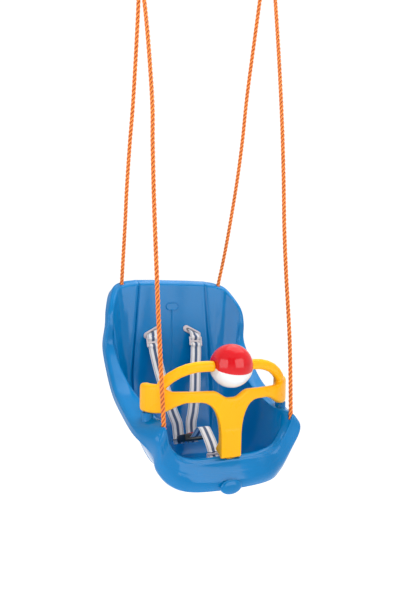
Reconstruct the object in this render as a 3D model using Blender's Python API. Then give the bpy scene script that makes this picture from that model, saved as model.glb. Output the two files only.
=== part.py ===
"""Toddler bucket swing: moulded seat on four ropes, plug-in T guard with a spinning ball, harness.

Metres, +Z up.  The seat faces -Y.  The world origin is midway between the two hanging rings, on
the line through the lowest point of both ring wires, which is the axis that the swing turns about.
Most pieces are modelled in the seat's own frame, whose origin lies midway between the two front
rope holes, and hang from the empty "seat_frame".
"""
import math

import bmesh
import bpy
from mathutils import Matrix, Vector

MM = 0.001

# ---- driving dimensions -------------------------------------------------------------------
RING_HEIGHT = 0.962          # hanging axis above the front rope holes
RING_SETBACK = 0.1277        # hanging axis behind the front rope holes, above the mass centre
RING_HALF_SPAN = 0.141
RING_RADIUS = 0.026
RING_WIRE = 0.003

GAP = 0.0003                 # clearance between pieces that touch

SHELL = 0.0035               # wall of the seat moulding
FLOOR = -0.118               # seat floor, below the front rope holes
ROPE_RADIUS = 0.004
ROPE_HOLE = 0.0052
FRONT_HOLE = (0.132, 0.000)
REAR_HOLE = (0.117, 0.281)

GUARD_HALF_SPAN = 0.143      # plan ellipse of the guard's centre line
GUARD_BOW = 0.0585
GUARD_BACK = 0.060
BAR_RADIUS = 0.010
BALL_RADIUS = 0.040
BALL_CENTRE = (0.0, 0.002, 0.1055)
BALL_FLAT = 0.0355           # half distance between the two flats that face the bar ends
BALL_WALL = 0.0025
BALL_TILT = math.radians(18)  # seam lies lower at the front than at the back
AXLE_RADIUS = 0.004

PEG = (0.1425, 0.052)        # plan position of the peg that the guard's cuff drops over
PEG_RADIUS = 0.005
PEG_TOP = 0.046
COLLAR_RADIUS = 0.0105
COLLAR_TOP = 0.0217

SLOT_CENTRE = (0.048, 0.148)
SLOT_SLANT = math.radians(27)
SLOT_LENGTH = 0.031
SLOT_WIDTH = 0.007
CROTCH_SLOT = (0.0, 0.062)

WEB_WIDTH = 0.025
WEB_THICK = 0.0016

TENON = (0.014, 0.006)       # width and depth of the guard's tenon
TENON_Y = 0.0015
TENON_END = -0.112
CATCH_Z = -0.106
LATCH_X = -0.013
DOME_BACK = -0.0278
DOME_CENTRE_Z = -0.110

POST_HALF = 0.0195
ARCH_START = 0.020
ARCH_END = 0.062
ARCH_FOOT = -0.040
BAR_LOW = 0.041
BAR_HIGH = 0.0615
DIP_DEPTH = 0.0135
DIP_FLAT = 0.006
DIP_HALF = 0.036
CUFF_LOW = 0.022
CUFF_HIGH = 0.0735
FOOT_LOW = -0.0600
POST_BLOCK = (-0.0145, 0.0192, -0.0615, -0.011)   # left, right, lower and upper edge

BEZEL_BACK = 0.2754          # face of the back panel at the slots
BEZEL_TURN = math.radians(5.8)
ADJUSTER_AT = 0.036          # distance of each glide along its webbing
CROTCH_GLIDE_AT = 0.040
GLIDE_LENGTH = 0.020
GLIDE_WIDTH = 0.031
GLIDE_THICK = 0.0024
WEAVE = 0.0022               # offset of the webbing as it passes behind and over a glide's bars
BUCKLE_CENTRE = (0.0, 0.168, -0.066)
BUCKLE_PITCH = math.radians(-18)
LOOP_X = 0.0158              # middle of each tongue's loop, from the buckle's middle

# Webbing centre lines in the seat frame, in millimetres.  A shoulder strap comes out of its slot,
# falls to the buckle and ends through the loop of its tongue.
SHOULDER_ROUTE = (
    (48, 282.2, 148), (48, 277, 148), (48.2, 271.5, 147.8), (50, 264.5, 142), (51, 260, 128),
    (48.5, 252, 100), (42, 240, 60), (34, 224, 20), (24, 211, -20), (17, 205, -42),
    (15.8, 201.3, -58), (15.8, 196.0, -75), (15.8, 192.9, -84.5))
CROTCH_ROUTE = (
    (0, 62, -121.8), (0, 62.5, -112), (0, 63, -92), (0, 66, -71), (0, 77, -56), (0, 92, -43.5),
    (0, 105, -34), (0, 113, -32), (0, 122, -37), (0, 134, -49), (0, 143, -57), (0, 151.0, -60.5))

FRONT_ROPE_TOP = 0.1480      # distance of each rope's loop from the middle of the swing
REAR_ROPE_TOP = 0.1340
FRONT_SURFACE = 0.004        # height of the rim's upper surface at each hole
REAR_SURFACE = 0.254
KNOT_RADIUS = 0.0072
LOOP_RADIUS = 0.0080
LOOP_LIFT = 0.0010
PAIR_HALF = 0.00435          # half distance between a rope and its own tail in the ferrule
FERRULE = (-0.052, -0.036)   # lower and upper end of the ferrule

# Slow bends of each rope: share of the way down from the ferrule, and offset in X in millimetres.
BENDS = {
    "front_left": ((0.20, 11), (0.36, 13.4), (0.45, 9.5), (0.56, 6.0), (0.68, 3.6), (0.82, 1.3)),
    "front_right": ((0.20, 5.5), (0.36, 7.0), (0.49, 5.3), (0.60, 2.4), (0.70, 2.4), (0.85, 4.4)),
    "rear_left": ((0.20, 3.5), (0.44, 3.6), (0.57, 1.3), (0.70, 0.0), (0.82, 0.5)),
    "rear_right": ((0.20, 1.5), (0.38, 3.5), (0.51, 8.0), (0.64, 9.6), (0.78, 8.0), (0.90, 4.8))}

# Half of the moulding as stations round its edge, from the middle of the back to the middle of
# the front, in millimetres in the seat frame.  Each station gives the edge of the floor (x, y),
# the point where the wall starts to curve into the floor, the inner edge of the rim, the outer
# edge of the rim, how far the rim's surface swells off the line between those two edges, and the
# step from the outer edge to the end of the turned-down skirt.
STATIONS = (
    ((0, 190), (0, 279, 50), (0, 277, 249), (0, 299, 262), (0, -2, 4), (0, 4, -17)),
    ((30, 190), (44, 278, 50), (38, 277, 249), (40, 299, 262), (0, -2, 4), (0, 4, -17)),
    ((56, 187), (88, 271, 60), (74, 273, 249), (76, 298, 261), (0, -2, 4), (0, 4, -17)),
    ((59, 186), (93, 275, 60), (79, 276, 249), (82, 297, 261), (0, -2, 4), (1, 4, -17)),
    ((62, 185), (99, 267, 60), (86, 272, 248), (90, 296, 260), (0, -2, 4), (2, 4, -16)),
    ((66, 182), (110, 262, 55), (107, 271, 245), (114, 293, 256), (0, -1, 4), (4, 4, -14)),
    ((71, 177), (118, 254, 52), (129, 266, 236), (138, 279, 244), (0, -1, 3), (5, 7, -9)),
    ((68, 168), (124, 245, 48), (145, 243, 203), (157, 245, 203), (0, -3, 1), (3, 11, -3)),
    ((70, 158), (127, 236, 42), (148, 236, 168), (162, 236, 168), (0, -3, 0), (2, 12, -1)),
    ((71, 146), (129, 224, 36), (147, 239, 130), (166, 241, 127), (0, -3, 1), (2, 11, -4)),
    ((73, 130), (129, 202, 26), (142, 214, 88), (168, 209, 84), (0, -3, 3), (2, 8, -8)),
    ((78, 111), (127, 166, 14), (134, 172, 51), (170, 165, 43), (1, -1, 4), (1, 4, -11)),
    ((82, 90), (124, 114, 5), (128, 116, 27), (171, 108, 16), (1, 0, 5), (0, 1, -12)),
    ((85, 66), (121, 61, -10), (125, 60, 12), (170, 58, -3), (1, 0, 5), (0, 0, -12)),
    ((84, 53), (120, 38, -13), (124, 36, 9), (164, 27, -18), (2, -14, 8), (-1, 1, -9)),
    ((79, 43), (118, 24, -24), (124, 19, 2), (150, 9, -41), (3, -26, 12), (-1, 4, -5)),
    ((68, 38), (109, 19, -50), (115, 14, -29), (140, 12, -74), (0, -15, 6), (-1, 5, -3)),
    ((54, 36), (92, 18, -70), (96, 12, -52), (115, 5, -103), (0, -11, 6), (0, 5, -2)),
    ((36, 35), (59, 17, -79), (60, 12, -62), (78, -10, -115), (0, -12, 7), (0, 6, -2)),
    ((0, 35), (0, 17, -79), (0, 12, -62), (0, -22, -115), (0, -12, 7), (0, 6, -2)),
)
COLUMNS_PER_STATION = 2
FLOOR_ROWS = (0.35, 0.7)
CURVE_ROWS = 5
WALL_ROWS = 2
RIM_ROWS = 6
SKIRT_ROWS = 2


# ---- small helpers ------------------------------------------------------------------------
def clear_scene():
    for item in list(bpy.data.objects):
        bpy.data.objects.remove(item, do_unlink=True)


def material(name, colour, roughness, metallic=0.0):
    mat = bpy.data.materials.get(name)
    if mat is None:
        mat = bpy.data.materials.new(name)
        mat.use_nodes = True
        shader = mat.node_tree.nodes["Principled BSDF"]
        shader.inputs["Base Color"].default_value = (*colour, 1.0)
        shader.inputs["Roughness"].default_value = roughness
        shader.inputs["Metallic"].default_value = metallic
    return mat


def blue_plastic():
    return material("blue_plastic", (0.015, 0.19, 0.58), 0.25)


def yellow_plastic():
    return material("yellow_plastic", (1.0, 0.52, 0.005), 0.3)


def red_plastic():
    return material("red_plastic", (0.75, 0.012, 0.018), 0.15)


def white_plastic():
    return material("white_plastic", (0.85, 0.85, 0.82), 0.2)


def grey_plastic():
    return material("grey_plastic", (0.42, 0.40, 0.42), 0.4)


def black_plastic():
    return material("black_plastic", (0.018, 0.02, 0.02), 0.4)


def steel():
    return material("steel", (0.6, 0.6, 0.6), 0.3, 1.0)


def orange_rope():
    return material("orange_rope", (0.9, 0.2, 0.01), 0.7)


def webbing():
    return material("webbing", (0.72, 0.70, 0.68), 0.8)


def link(name, mesh, mat, parent=None, location=(0, 0, 0), smooth=40):
    """Add a mesh as a named object and shade it by angle."""
    obj = bpy.data.objects.new(name, mesh)
    bpy.context.scene.collection.objects.link(obj)
    if mat is not None:
        mesh.materials.append(mat)
    mesh.shade_smooth()
    mesh.set_sharp_from_angle(angle=math.radians(smooth))
    obj.parent = parent
    obj.location = location
    return obj


def to_mesh(name, bm):
    bmesh.ops.recalc_face_normals(bm, faces=bm.faces[:])
    mesh = bpy.data.meshes.new(name)
    bm.to_mesh(mesh)
    bm.free()
    return mesh


def loft(rings):
    """Closed solid through rings of equal point count, capped at both ends."""
    bm = bmesh.new()
    rows = [[bm.verts.new(point) for point in ring] for ring in rings]
    count = len(rows[0])
    for low, high in zip(rows[:-1], rows[1:]):
        for k in range(count):
            bm.faces.new((low[k], low[(k + 1) % count], high[(k + 1) % count], high[k]))
    bm.faces.new(rows[0][::-1])
    bm.faces.new(rows[-1])
    return bm


def cylinder(radius, start, end, sides=20):
    """Solid cylinder between two points."""
    start = Vector(start)
    end = Vector(end)
    turn = (end - start).to_track_quat("Z", "Y").to_matrix().to_4x4()
    bm = bmesh.new()
    bmesh.ops.create_cone(bm, cap_ends=True, segments=sides, radius1=radius, radius2=radius,
                          depth=(end - start).length,
                          matrix=Matrix.Translation((start + end) / 2) @ turn)
    return bm


def box(low, high, bevel=0.0, segments=2):
    low = Vector(low)
    high = Vector(high)
    bm = bmesh.new()
    size = Matrix.Diagonal((*(high - low), 1.0))
    bmesh.ops.create_cube(bm, size=1.0, matrix=Matrix.Translation((low + high) / 2) @ size)
    if bevel:
        bmesh.ops.bevel(bm, geom=bm.edges[:], offset=bevel, segments=segments, affect="EDGES",
                        profile=0.5)
    return bm


def prism(outline, depth, axis="Y"):
    """Extrude a closed 2-D outline through +-depth/2 along Y (outline in XZ), X (YZ) or Z (XY)."""
    def place(a, b, c):
        return {"X": (c, a, b), "Y": (a, c, b), "Z": (a, b, c)}[axis]
    rings = [[place(a, b, side * depth / 2) for a, b in outline] for side in (-1, 1)]
    return loft(rings)


def stadium(length, width, steps=6):
    """Outline of a slot with round ends, long axis along the first coordinate."""
    radius = width / 2
    reach = length / 2 - radius
    points = []
    for side in (1, -1):
        for k in range(steps + 1):
            angle = math.pi * k / steps - math.pi / 2
            points.append((side * (reach + radius * math.cos(angle)), side * radius * math.sin(angle)))
    return points


def tool(name, bm, parent=None, matrix=None):
    """A boolean operand: kept wire-drawn and out of the model."""
    if matrix is not None:
        bm.transform(matrix)
    obj = link(name, to_mesh(name, bm), None, parent)
    obj.hide_render = True
    obj.display_type = "WIRE"
    return obj


def combine(target, operand, operation):
    change = target.modifiers.new(operand.name, "BOOLEAN")
    change.operation = operation
    change.object = operand
    change.solver = "EXACT"


def smoothstep(low, high, value):
    t = min(max((value - low) / (high - low), 0.0), 1.0)
    return t * t * (3 - 2 * t)


def spline(points, per_span, closed=False):
    """Catmull-Rom curve through points, each a list of numbers or a Vector."""
    count = len(points)
    spans = count if closed else count - 1
    result = []
    for i in range(spans):
        if closed:
            a, b, c, d = (points[(i + k - 1) % count] for k in range(4))
        else:
            b, c = points[i], points[i + 1]
            a = points[i - 1] if i else 2 * b - c
            d = points[i + 2] if i + 2 < count else 2 * c - b
        for k in range(per_span):
            t = k / per_span
            result.append(0.5 * (2 * b + (c - a) * t + (2 * a - 5 * b + 4 * c - d) * t ** 2
                                 + (3 * b - a - 3 * c + d) * t ** 3))
    if not closed:
        result.append(points[-1].copy())
    return result


def resample(points, count):
    """Points at equal arc length along a polyline."""
    travelled = [0.0]
    for a, b in zip(points[:-1], points[1:]):
        travelled.append(travelled[-1] + (b - a).length)
    result = []
    k = 0
    for i in range(count):
        target = travelled[-1] * i / (count - 1)
        while k < len(points) - 2 and travelled[k + 1] < target:
            k += 1
        span = travelled[k + 1] - travelled[k]
        result.append(points[k].lerp(points[k + 1], (target - travelled[k]) / span))
    return result


# ---- seat moulding ------------------------------------------------------------------------
def station_vectors(station, side):
    """The six points and steps of a station as vectors, mirrored to the given side."""
    base, knee, inner, outer, swell, skirt = station
    flip = Vector((side, 1, 1)) * MM
    floor_edge = Vector((base[0], base[1], FLOOR / MM))
    return [Vector(v) * flip for v in (floor_edge, knee, inner, outer, swell, skirt)]


def seat_loop():
    """Stations all the way round, smoothed; each entry holds the six vectors of one column."""
    right = [station_vectors(s, 1) for s in STATIONS]
    left = [station_vectors(s, -1) for s in STATIONS[-2:0:-1]]
    ring = right + left
    tracks = []
    for k in range(6):
        tracks.append(spline([entry[k] for entry in ring], COLUMNS_PER_STATION, closed=True))
    return list(zip(*tracks))


def seat_column(vectors):
    """Points of one column from the floor's edge, up the wall, over the rim and down the skirt."""
    base, knee, inner, outer, swell, skirt = vectors
    points = []
    down = (knee - inner).normalized()
    handle_a = knee + down * 0.38 * (knee.z - FLOOR)
    handle_b = base + Vector((knee.x - base.x, knee.y - base.y, 0)) * 0.36
    for k in range(CURVE_ROWS):
        t = k / CURVE_ROWS
        points.append(base * (1 - t) ** 3 + handle_b * 3 * t * (1 - t) ** 2
                      + handle_a * 3 * t * t * (1 - t) + knee * t ** 3)
    for k in range(WALL_ROWS):
        points.append(knee.lerp(inner, k / WALL_ROWS))
    for k in range(RIM_ROWS + 1):
        t = 0.5 - 0.5 * math.cos(math.pi * k / RIM_ROWS)
        points.append(inner.lerp(outer, t) + swell * (1 - (2 * t - 1) ** 4))
    for k in range(1, SKIRT_ROWS + 1):
        points.append(outer + skirt * (k / SKIRT_ROWS))
    return points


def seat_skin():
    """The moulding's upper surface as an open sheet."""
    bm = bmesh.new()
    columns = []
    middle = bm.verts.new((0, 0.112, FLOOR))
    for vectors in seat_loop():
        base = vectors[0]
        points = [middle.co.lerp(base, share) for share in FLOOR_ROWS] + seat_column(vectors)
        columns.append([bm.verts.new(point) for point in points])
    count = len(columns)
    for i in range(count):
        here = columns[i]
        there = columns[(i + 1) % count]
        bm.faces.new((middle, here[0], there[0]))
        for k in range(len(here) - 1):
            bm.faces.new((here[k], here[k + 1], there[k + 1], there[k]))
    return bm


def seat_shell(frame):
    bm = seat_skin()
    bmesh.ops.recalc_face_normals(bm, faces=bm.faces[:])
    mesh = bpy.data.meshes.new("seat_shell")
    if sum(face.normal.z * face.calc_area() for face in bm.faces) < 0:
        bmesh.ops.reverse_faces(bm, faces=bm.faces[:])
    bm.to_mesh(mesh)
    bm.free()
    seat = link("seat_shell", mesh, blue_plastic(), frame)
    wall = seat.modifiers.new("wall", "SOLIDIFY")
    wall.thickness = SHELL
    wall.offset = -1.0
    wall.use_even_offset = False
    for side, tag in ((1, "right"), (-1, "left")):
        x, y = FRONT_HOLE
        hole = cylinder(ROPE_HOLE, (side * x, y, -0.03), (side * x, y, 0.03), 16)
        combine(seat, tool("cut_front_hole_" + tag, hole, frame), "DIFFERENCE")
        x, y = REAR_HOLE
        hole = cylinder(ROPE_HOLE, (side * x, y, 0.244), (side * x, y, 0.275), 16)
        combine(seat, tool("cut_rear_hole_" + tag, hole, frame), "DIFFERENCE")
        place = Matrix.Translation((side * SLOT_CENTRE[0], 0.277, SLOT_CENTRE[1])) @ Matrix.Rotation(
            side * SLOT_SLANT, 4, "Y")
        slot = prism(stadium(SLOT_LENGTH, SLOT_WIDTH), 0.04)
        combine(seat, tool("cut_slot_" + tag, slot, frame, place), "DIFFERENCE")
        x, y = PEG
        collar = cylinder(COLLAR_RADIUS, (side * x, y, -0.004), (side * x, y, COLLAR_TOP), 24)
        combine(seat, tool("add_collar_" + tag, collar, frame), "UNION")
        peg = cylinder(PEG_RADIUS, (side * x, y, -0.006), (side * x, y, PEG_TOP), 16)
        combine(seat, tool("add_peg_" + tag, peg, frame), "UNION")
    badge = prism(stadium(0.030, 0.018), 0.0033)
    place = Matrix.Translation((0, 0.27785, 0.205))
    combine(seat, tool("add_badge", badge, frame, place), "UNION")
    place = Matrix.Translation((CROTCH_SLOT[0], CROTCH_SLOT[1], FLOOR))
    slot = prism(stadium(0.031, SLOT_WIDTH), 0.03, "Z")
    combine(seat, tool("cut_crotch_slot", slot, frame, place), "DIFFERENCE")
    half_width = TENON[0] / 2 + 0.001
    half_depth = TENON[1] / 2 + 0.0012
    slot = box((-half_width, TENON_Y - half_depth, -0.085), (half_width, TENON_Y + half_depth, -0.05))
    combine(seat, tool("cut_tenon_slot", slot, frame), "DIFFERENCE")
    hole = cylinder(0.0046, (LATCH_X, -0.035, CATCH_Z), (LATCH_X, -0.005, CATCH_Z), 16)
    combine(seat, tool("cut_latch_hole", hole, frame), "DIFFERENCE")
    return seat


# ---- guard --------------------------------------------------------------------------------
def guard_plan(angle):
    """Centre of the guard's plate and its outward normal in plan, at an angle round its bow."""
    centre = Vector((GUARD_HALF_SPAN * math.sin(angle), GUARD_BACK - GUARD_BOW * math.cos(angle), 0))
    normal = Vector((GUARD_BOW * math.sin(angle), -GUARD_HALF_SPAN * math.cos(angle), 0))
    return centre, normal.normalized()


def plate_limits(x):
    """Lower and upper edge of the flat part of the guard at a distance from its middle."""
    x = abs(x)
    if x <= ARCH_START:
        low = FOOT_LOW
    elif x < ARCH_END:
        across = (ARCH_END - x) / (ARCH_END - ARCH_START)
        low = ARCH_FOOT + (BAR_LOW - ARCH_FOOT) * (1 - across ** 2.5) ** 0.4
    else:
        low = BAR_LOW + (CUFF_LOW - BAR_LOW) * smoothstep(0.082, 0.130, x)
    dip = DIP_DEPTH * (1 - smoothstep(DIP_FLAT, DIP_HALF, x))
    high = BAR_HIGH - dip + (CUFF_HIGH - BAR_HIGH) * smoothstep(0.110, 0.128, x)
    return low, high


def plate_ring(centre, normal, half, low, high, slope):
    """Rounded rectangle across the guard's plate; slope lets the foot follow the rim below it."""
    radius = min(half * 0.75, 0.006)
    ring = []
    for side_n, side_z in ((1, 1), (-1, 1), (-1, -1), (1, -1)):
        first = {(1, 1): 0, (-1, 1): 90, (-1, -1): 180, (1, -1): 270}[(side_n, side_z)]
        for step in (0, 45, 90):
            angle = math.radians(first + step)
            out = side_n * (half - radius) + radius * math.cos(angle)
            edge = high if side_z > 0 else low
            up = edge - side_z * radius + radius * math.sin(angle)
            if side_z < 0:
                up -= slope * (out + half)
            ring.append(centre + normal * out + Vector((0, 0, up)))
    return ring


def guard_plate():
    stops = [0, 0.008, 0.014, 0.018, 0.0199, 0.0204, 0.022, 0.025, 0.029, 0.034, 0.040, 0.048,
             0.058, 0.070, 0.084, 0.098, 0.108, 0.116, 0.123, 0.130, 0.136, 0.1405, 0.1428]
    rings = []
    for x in [-v for v in stops[:0:-1]] + stops:
        angle = math.asin(x / GUARD_HALF_SPAN)
        centre, normal = guard_plan(angle)
        low, high = plate_limits(x)
        half = 0.0075 + 0.0025 * smoothstep(0.100, 0.135, abs(x))
        slope = 0.35 if abs(x) < ARCH_START else 0.0
        rings.append(plate_ring(centre, normal, half, low, high, slope))
    ends = [plate_ring(Vector((side * GUARD_HALF_SPAN, GUARD_BACK + 0.006, 0)), Vector((side, 0, 0)),
                       0.010, CUFF_LOW, CUFF_HIGH, 0.0) for side in (-1, 1)]
    return loft([ends[0]] + rings + [ends[1]])


def upper_bar(side):
    """Round bar from the flat beside the ball down into a cuff."""
    profile = ((0.0358, 0.1060), (0.050, 0.1060), (0.066, 0.1050), (0.082, 0.1015), (0.097, 0.0955),
               (0.110, 0.0870), (0.121, 0.0765), (0.129, 0.0640), (0.134, 0.0500))
    path = []
    for x, height in profile:
        centre, _ = guard_plan(math.asin(x / GUARD_HALF_SPAN))
        path.append(Vector((side * centre.x, centre.y, height)))
    rings = []
    for k, point in enumerate(path):
        ahead = path[min(k + 1, len(path) - 1)] - path[max(k - 1, 0)]
        if k == 0:
            ahead = Vector((side, 0, 0))
        turn = ahead.to_track_quat("Z", "Y").to_matrix()
        radius = BAR_RADIUS if k < 7 else BAR_RADIUS * 0.8
        circle = [Vector((math.cos(a), math.sin(a), 0)) * radius
                  for a in (2 * math.pi * i / 16 for i in range(16))]
        rings.append([point + turn @ c for c in circle])
    return loft(rings)


def guard_bar(frame):
    guard = link("guard_bar", to_mesh("guard_bar", guard_plate()), yellow_plastic(), frame)
    for side, tag in ((1, "right"), (-1, "left")):
        combine(guard, tool("add_upper_bar_" + tag, upper_bar(side), frame), "UNION")
    wedge = prism([(0.000, -0.012), (0.006, -0.014), (0.012, -0.034), (0.025, -0.049),
                   (0.025, -0.054), (0.013, -0.0598), (0.000, -0.0598)], 2 * POST_HALF - 0.004, "X")
    combine(guard, tool("add_heel", wedge, frame), "UNION")
    face = GUARD_BACK - GUARD_BOW - 0.0085
    block = box((POST_BLOCK[0], face, POST_BLOCK[2]), (POST_BLOCK[1], face + 0.008, POST_BLOCK[3]), 0.001)
    combine(guard, tool("add_post_block", block, frame), "UNION")
    half = Vector((TENON[0] / 2, TENON[1] / 2))
    tenon = box((-half.x, TENON_Y - half.y, TENON_END), (half.x, TENON_Y + half.y, -0.050))
    combine(guard, tool("add_tenon", tenon, frame), "UNION")
    rear = TENON_Y + half.y
    notch = box((-0.02, rear - 0.0018, CATCH_Z - 0.003), (0.02, rear + 0.01, CATCH_Z + 0.003))
    combine(guard, tool("cut_notch", notch, frame), "DIFFERENCE")
    x, y, z = BALL_CENTRE
    for side, tag in ((1, "right"), (-1, "left")):
        bore = cylinder(AXLE_RADIUS + 0.0004, (side * 0.030, y, z), (side * 0.0465, y, z), 16)
        combine(guard, tool("cut_axle_bore_" + tag, bore, frame), "DIFFERENCE")
        px, py = PEG
        socket = cylinder(PEG_RADIUS + 0.0006, (side * px, py, 0), (side * px, py, PEG_TOP + 0.002), 16)
        combine(guard, tool("cut_socket_" + tag, socket, frame), "DIFFERENCE")
    return guard


def ball_shell():
    """Hollow ball on the X axis with a flat and a bore at each end."""
    inside = BALL_RADIUS - BALL_WALL
    inner_flat = BALL_FLAT - BALL_WALL
    start = math.acos(BALL_FLAT / BALL_RADIUS)
    outer = [start + k * (math.pi - 2 * start) / 10 for k in range(11)]
    start = math.acos(inner_flat / inside)
    inner = [start + k * (math.pi - 2 * start) / 8 for k in range(9)]
    bore = AXLE_RADIUS + 0.0005
    profile = [(BALL_RADIUS * math.cos(a), BALL_RADIUS * math.sin(a)) for a in outer]
    profile += [(-BALL_FLAT, bore), (-inner_flat, bore)]
    profile += [(inside * math.cos(a), inside * math.sin(a)) for a in reversed(inner)]
    profile += [(inner_flat, bore), (BALL_FLAT, bore)]
    sides = 32
    bm = bmesh.new()
    rows = []
    for k in range(sides):
        angle = 2 * math.pi * k / sides
        rows.append([bm.verts.new((x, r * math.cos(angle), r * math.sin(angle))) for x, r in profile])
    for k in range(sides):
        here = rows[k]
        there = rows[(k + 1) % sides]
        for i in range(len(profile)):
            j = (i + 1) % len(profile)
            bm.faces.new((here[i], here[j], there[j], there[i]))
    return bm


def ball_half(name, mat, up, frame):
    """One half of the ball, split on the plane through its axle."""
    half = link(name, to_mesh(name, ball_shell()), mat, frame, BALL_CENTRE)
    half.rotation_euler.x = BALL_TILT
    reach = 0.05
    if up:
        keep = box((-reach, -reach, GAP / 2), (reach, reach, reach))
    else:
        keep = box((-reach, -reach, -reach), (reach, reach, -GAP / 2))
    tool_obj = tool("keep_" + name, keep, frame)
    tool_obj.location = BALL_CENTRE
    tool_obj.rotation_euler.x = BALL_TILT
    combine(half, tool_obj, "INTERSECT")
    return half


def ball(frame):
    ball_half("ball_upper_shell", red_plastic(), True, frame)
    ball_half("ball_lower_shell", white_plastic(), False, frame)
    axle = cylinder(AXLE_RADIUS, (-0.0455, 0, 0), (0.0455, 0, 0), 16)
    link("ball_axle", to_mesh("ball_axle", axle), steel(), frame, BALL_CENTRE)


# ---- latch under the front rim ------------------------------------------------------------
def latch(frame):
    dome = bmesh.new()
    bmesh.ops.create_uvsphere(dome, u_segments=24, v_segments=12, radius=1.0,
                              matrix=Matrix.Diagonal((0.022, 0.0065, 0.0135, 1)))
    button = link("latch_button", to_mesh("latch_button", dome), blue_plastic(), frame,
                  (LATCH_X, DOME_BACK, DOME_CENTRE_Z))
    keep = box((-0.05, -0.04, -0.1215), (0.05, DOME_BACK, -0.08))
    combine(button, tool("keep_latch_dome", keep, frame), "INTERSECT")
    stem = cylinder(0.004, (LATCH_X, -0.031, CATCH_Z), (LATCH_X, -0.0065, CATCH_Z), 12)
    combine(button, tool("add_latch_stem", stem, frame), "UNION")
    catch = box((LATCH_X - 0.004, -0.008, CATCH_Z - 0.002), (0.012, 0.007, CATCH_Z + 0.002))
    combine(button, tool("add_catch", catch, frame), "UNION")
    rear = TENON_Y + TENON[1] / 2
    window = box((-0.0085, TENON_Y - TENON[1] / 2 - 0.0032, -0.12), (0.0085, rear + GAP, -0.09))
    combine(button, tool("cut_catch_window", window, frame), "DIFFERENCE")
    spring("latch_spring", (0, 0.0075, CATCH_Z), (0, 0.0175, CATCH_Z), 0.0030, 0.0005, 5, frame)


def spring(name, start, end, radius, wire, turns, parent):
    """Compression spring as a swept coil between two points."""
    start = Vector(start)
    end = Vector(end)
    turn = (end - start).to_track_quat("Z", "Y").to_matrix()
    steps = turns * 10
    centres = []
    for k in range(steps + 1):
        angle = 2 * math.pi * k / 10
        along = wire + ((end - start).length - 2 * wire) * k / steps
        centres.append(start + turn @ Vector((radius * math.cos(angle), radius * math.sin(angle), along)))
    rings = []
    for k, centre in enumerate(centres):
        ahead = centres[min(k + 1, steps)] - centres[max(k - 1, 0)]
        face = ahead.to_track_quat("Z", "Y").to_matrix()
        rings.append([centre + face @ (Vector((math.cos(a), math.sin(a), 0)) * wire)
                      for a in (2 * math.pi * i / 6 for i in range(6))])
    return link(name, to_mesh(name, loft(rings)), steel(), parent)


# ---- harness ------------------------------------------------------------------------------
def slot_bezel(side, tag, frame):
    bm = prism(stadium(0.046, 0.0145), 0.003)
    obj = link("slot_bezel_" + tag, to_mesh("slot_bezel", bm), grey_plastic(), frame,
               (side * SLOT_CENTRE[0], BEZEL_BACK - 0.0015, SLOT_CENTRE[1]))
    obj.rotation_euler = (0, side * SLOT_SLANT, -side * BEZEL_TURN)
    cut = tool("cut_bezel_" + tag, prism(stadium(0.0295, 0.006), 0.02), frame)
    cut.location = obj.location
    cut.rotation_euler = obj.rotation_euler
    combine(obj, cut, "DIFFERENCE")
    edge = obj.modifiers.new("edge", "BEVEL")
    edge.width = 0.0008
    edge.segments = 1
    edge.limit_method = "ANGLE"
    edge.angle_limit = math.radians(60)
    return obj


def ribbon_frames(route, twist_start=0.0, twist_length=0.03):
    """Centre, across and outward direction at close steps along a webbing route."""
    points = spline([Vector(p) * MM for p in route], 12)
    travelled = 0.0
    frames = []
    for k, point in enumerate(points):
        if k:
            travelled += (point - points[k - 1]).length
        ahead = (points[min(k + 1, len(points) - 1)] - points[max(k - 1, 0)]).normalized()
        lean = twist_start * (1 - smoothstep(0.011, twist_length, travelled))
        across = Vector((math.cos(lean), 0, -math.sin(lean)))
        across = (across - ahead * across.dot(ahead)).normalized()
        frames.append((travelled, point, across, across.cross(ahead).normalized()))
    return frames


def frame_at(frames, distance):
    for low, high in zip(frames[:-1], frames[1:]):
        if low[0] <= distance <= high[0]:
            t = (distance - low[0]) / max(high[0] - low[0], 1e-9)
            return [low[k].lerp(high[k], t) for k in (1, 2, 3)]
    return list(frames[-1][1:])


def weave_offset(distance, centre):
    """Offset of webbing threaded through a three-bar glide: behind, over the middle bar, behind."""
    away = abs(distance - centre)
    if away > 0.0135:
        return 0.0
    if away > 0.0104:
        return -WEAVE * (0.0135 - away) / 0.0031
    if away > 0.0064:
        return -WEAVE
    if away > 0.0020:
        return WEAVE - 2 * WEAVE * (away - 0.0020) / 0.0044
    return WEAVE


def webbing_solid(name, frames, glide, step, frame_obj):
    """Plain strap: a rectangle swept along a route and threaded through its glide."""
    total = frames[-1][0]
    stops = [k * step for k in range(int(total / step))] + [total]
    near = [glide + d for d in (-0.0136, -0.0104, -0.0064, -0.0020, 0.0020, 0.0064, 0.0104, 0.0136)]
    stops = sorted([s for s in stops if abs(s - glide) > 0.017] + near)
    rings = []
    for stop in stops:
        centre, across, out = frame_at(frames, stop)
        if abs(stop - glide) < 0.0137:
            flat_centre, across, out = frame_at(frames, glide)
            centre = flat_centre + out.cross(across) * (stop - glide) + out * weave_offset(stop, glide)
        rings.append([centre + across * (a * WEB_WIDTH / 2) + out * (b * WEB_THICK / 2)
                      for a, b in ((-1, -1), (1, -1), (1, 1), (-1, 1))])
    return link(name, to_mesh(name, loft(rings)), webbing(), frame_obj, smooth=60)


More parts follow.
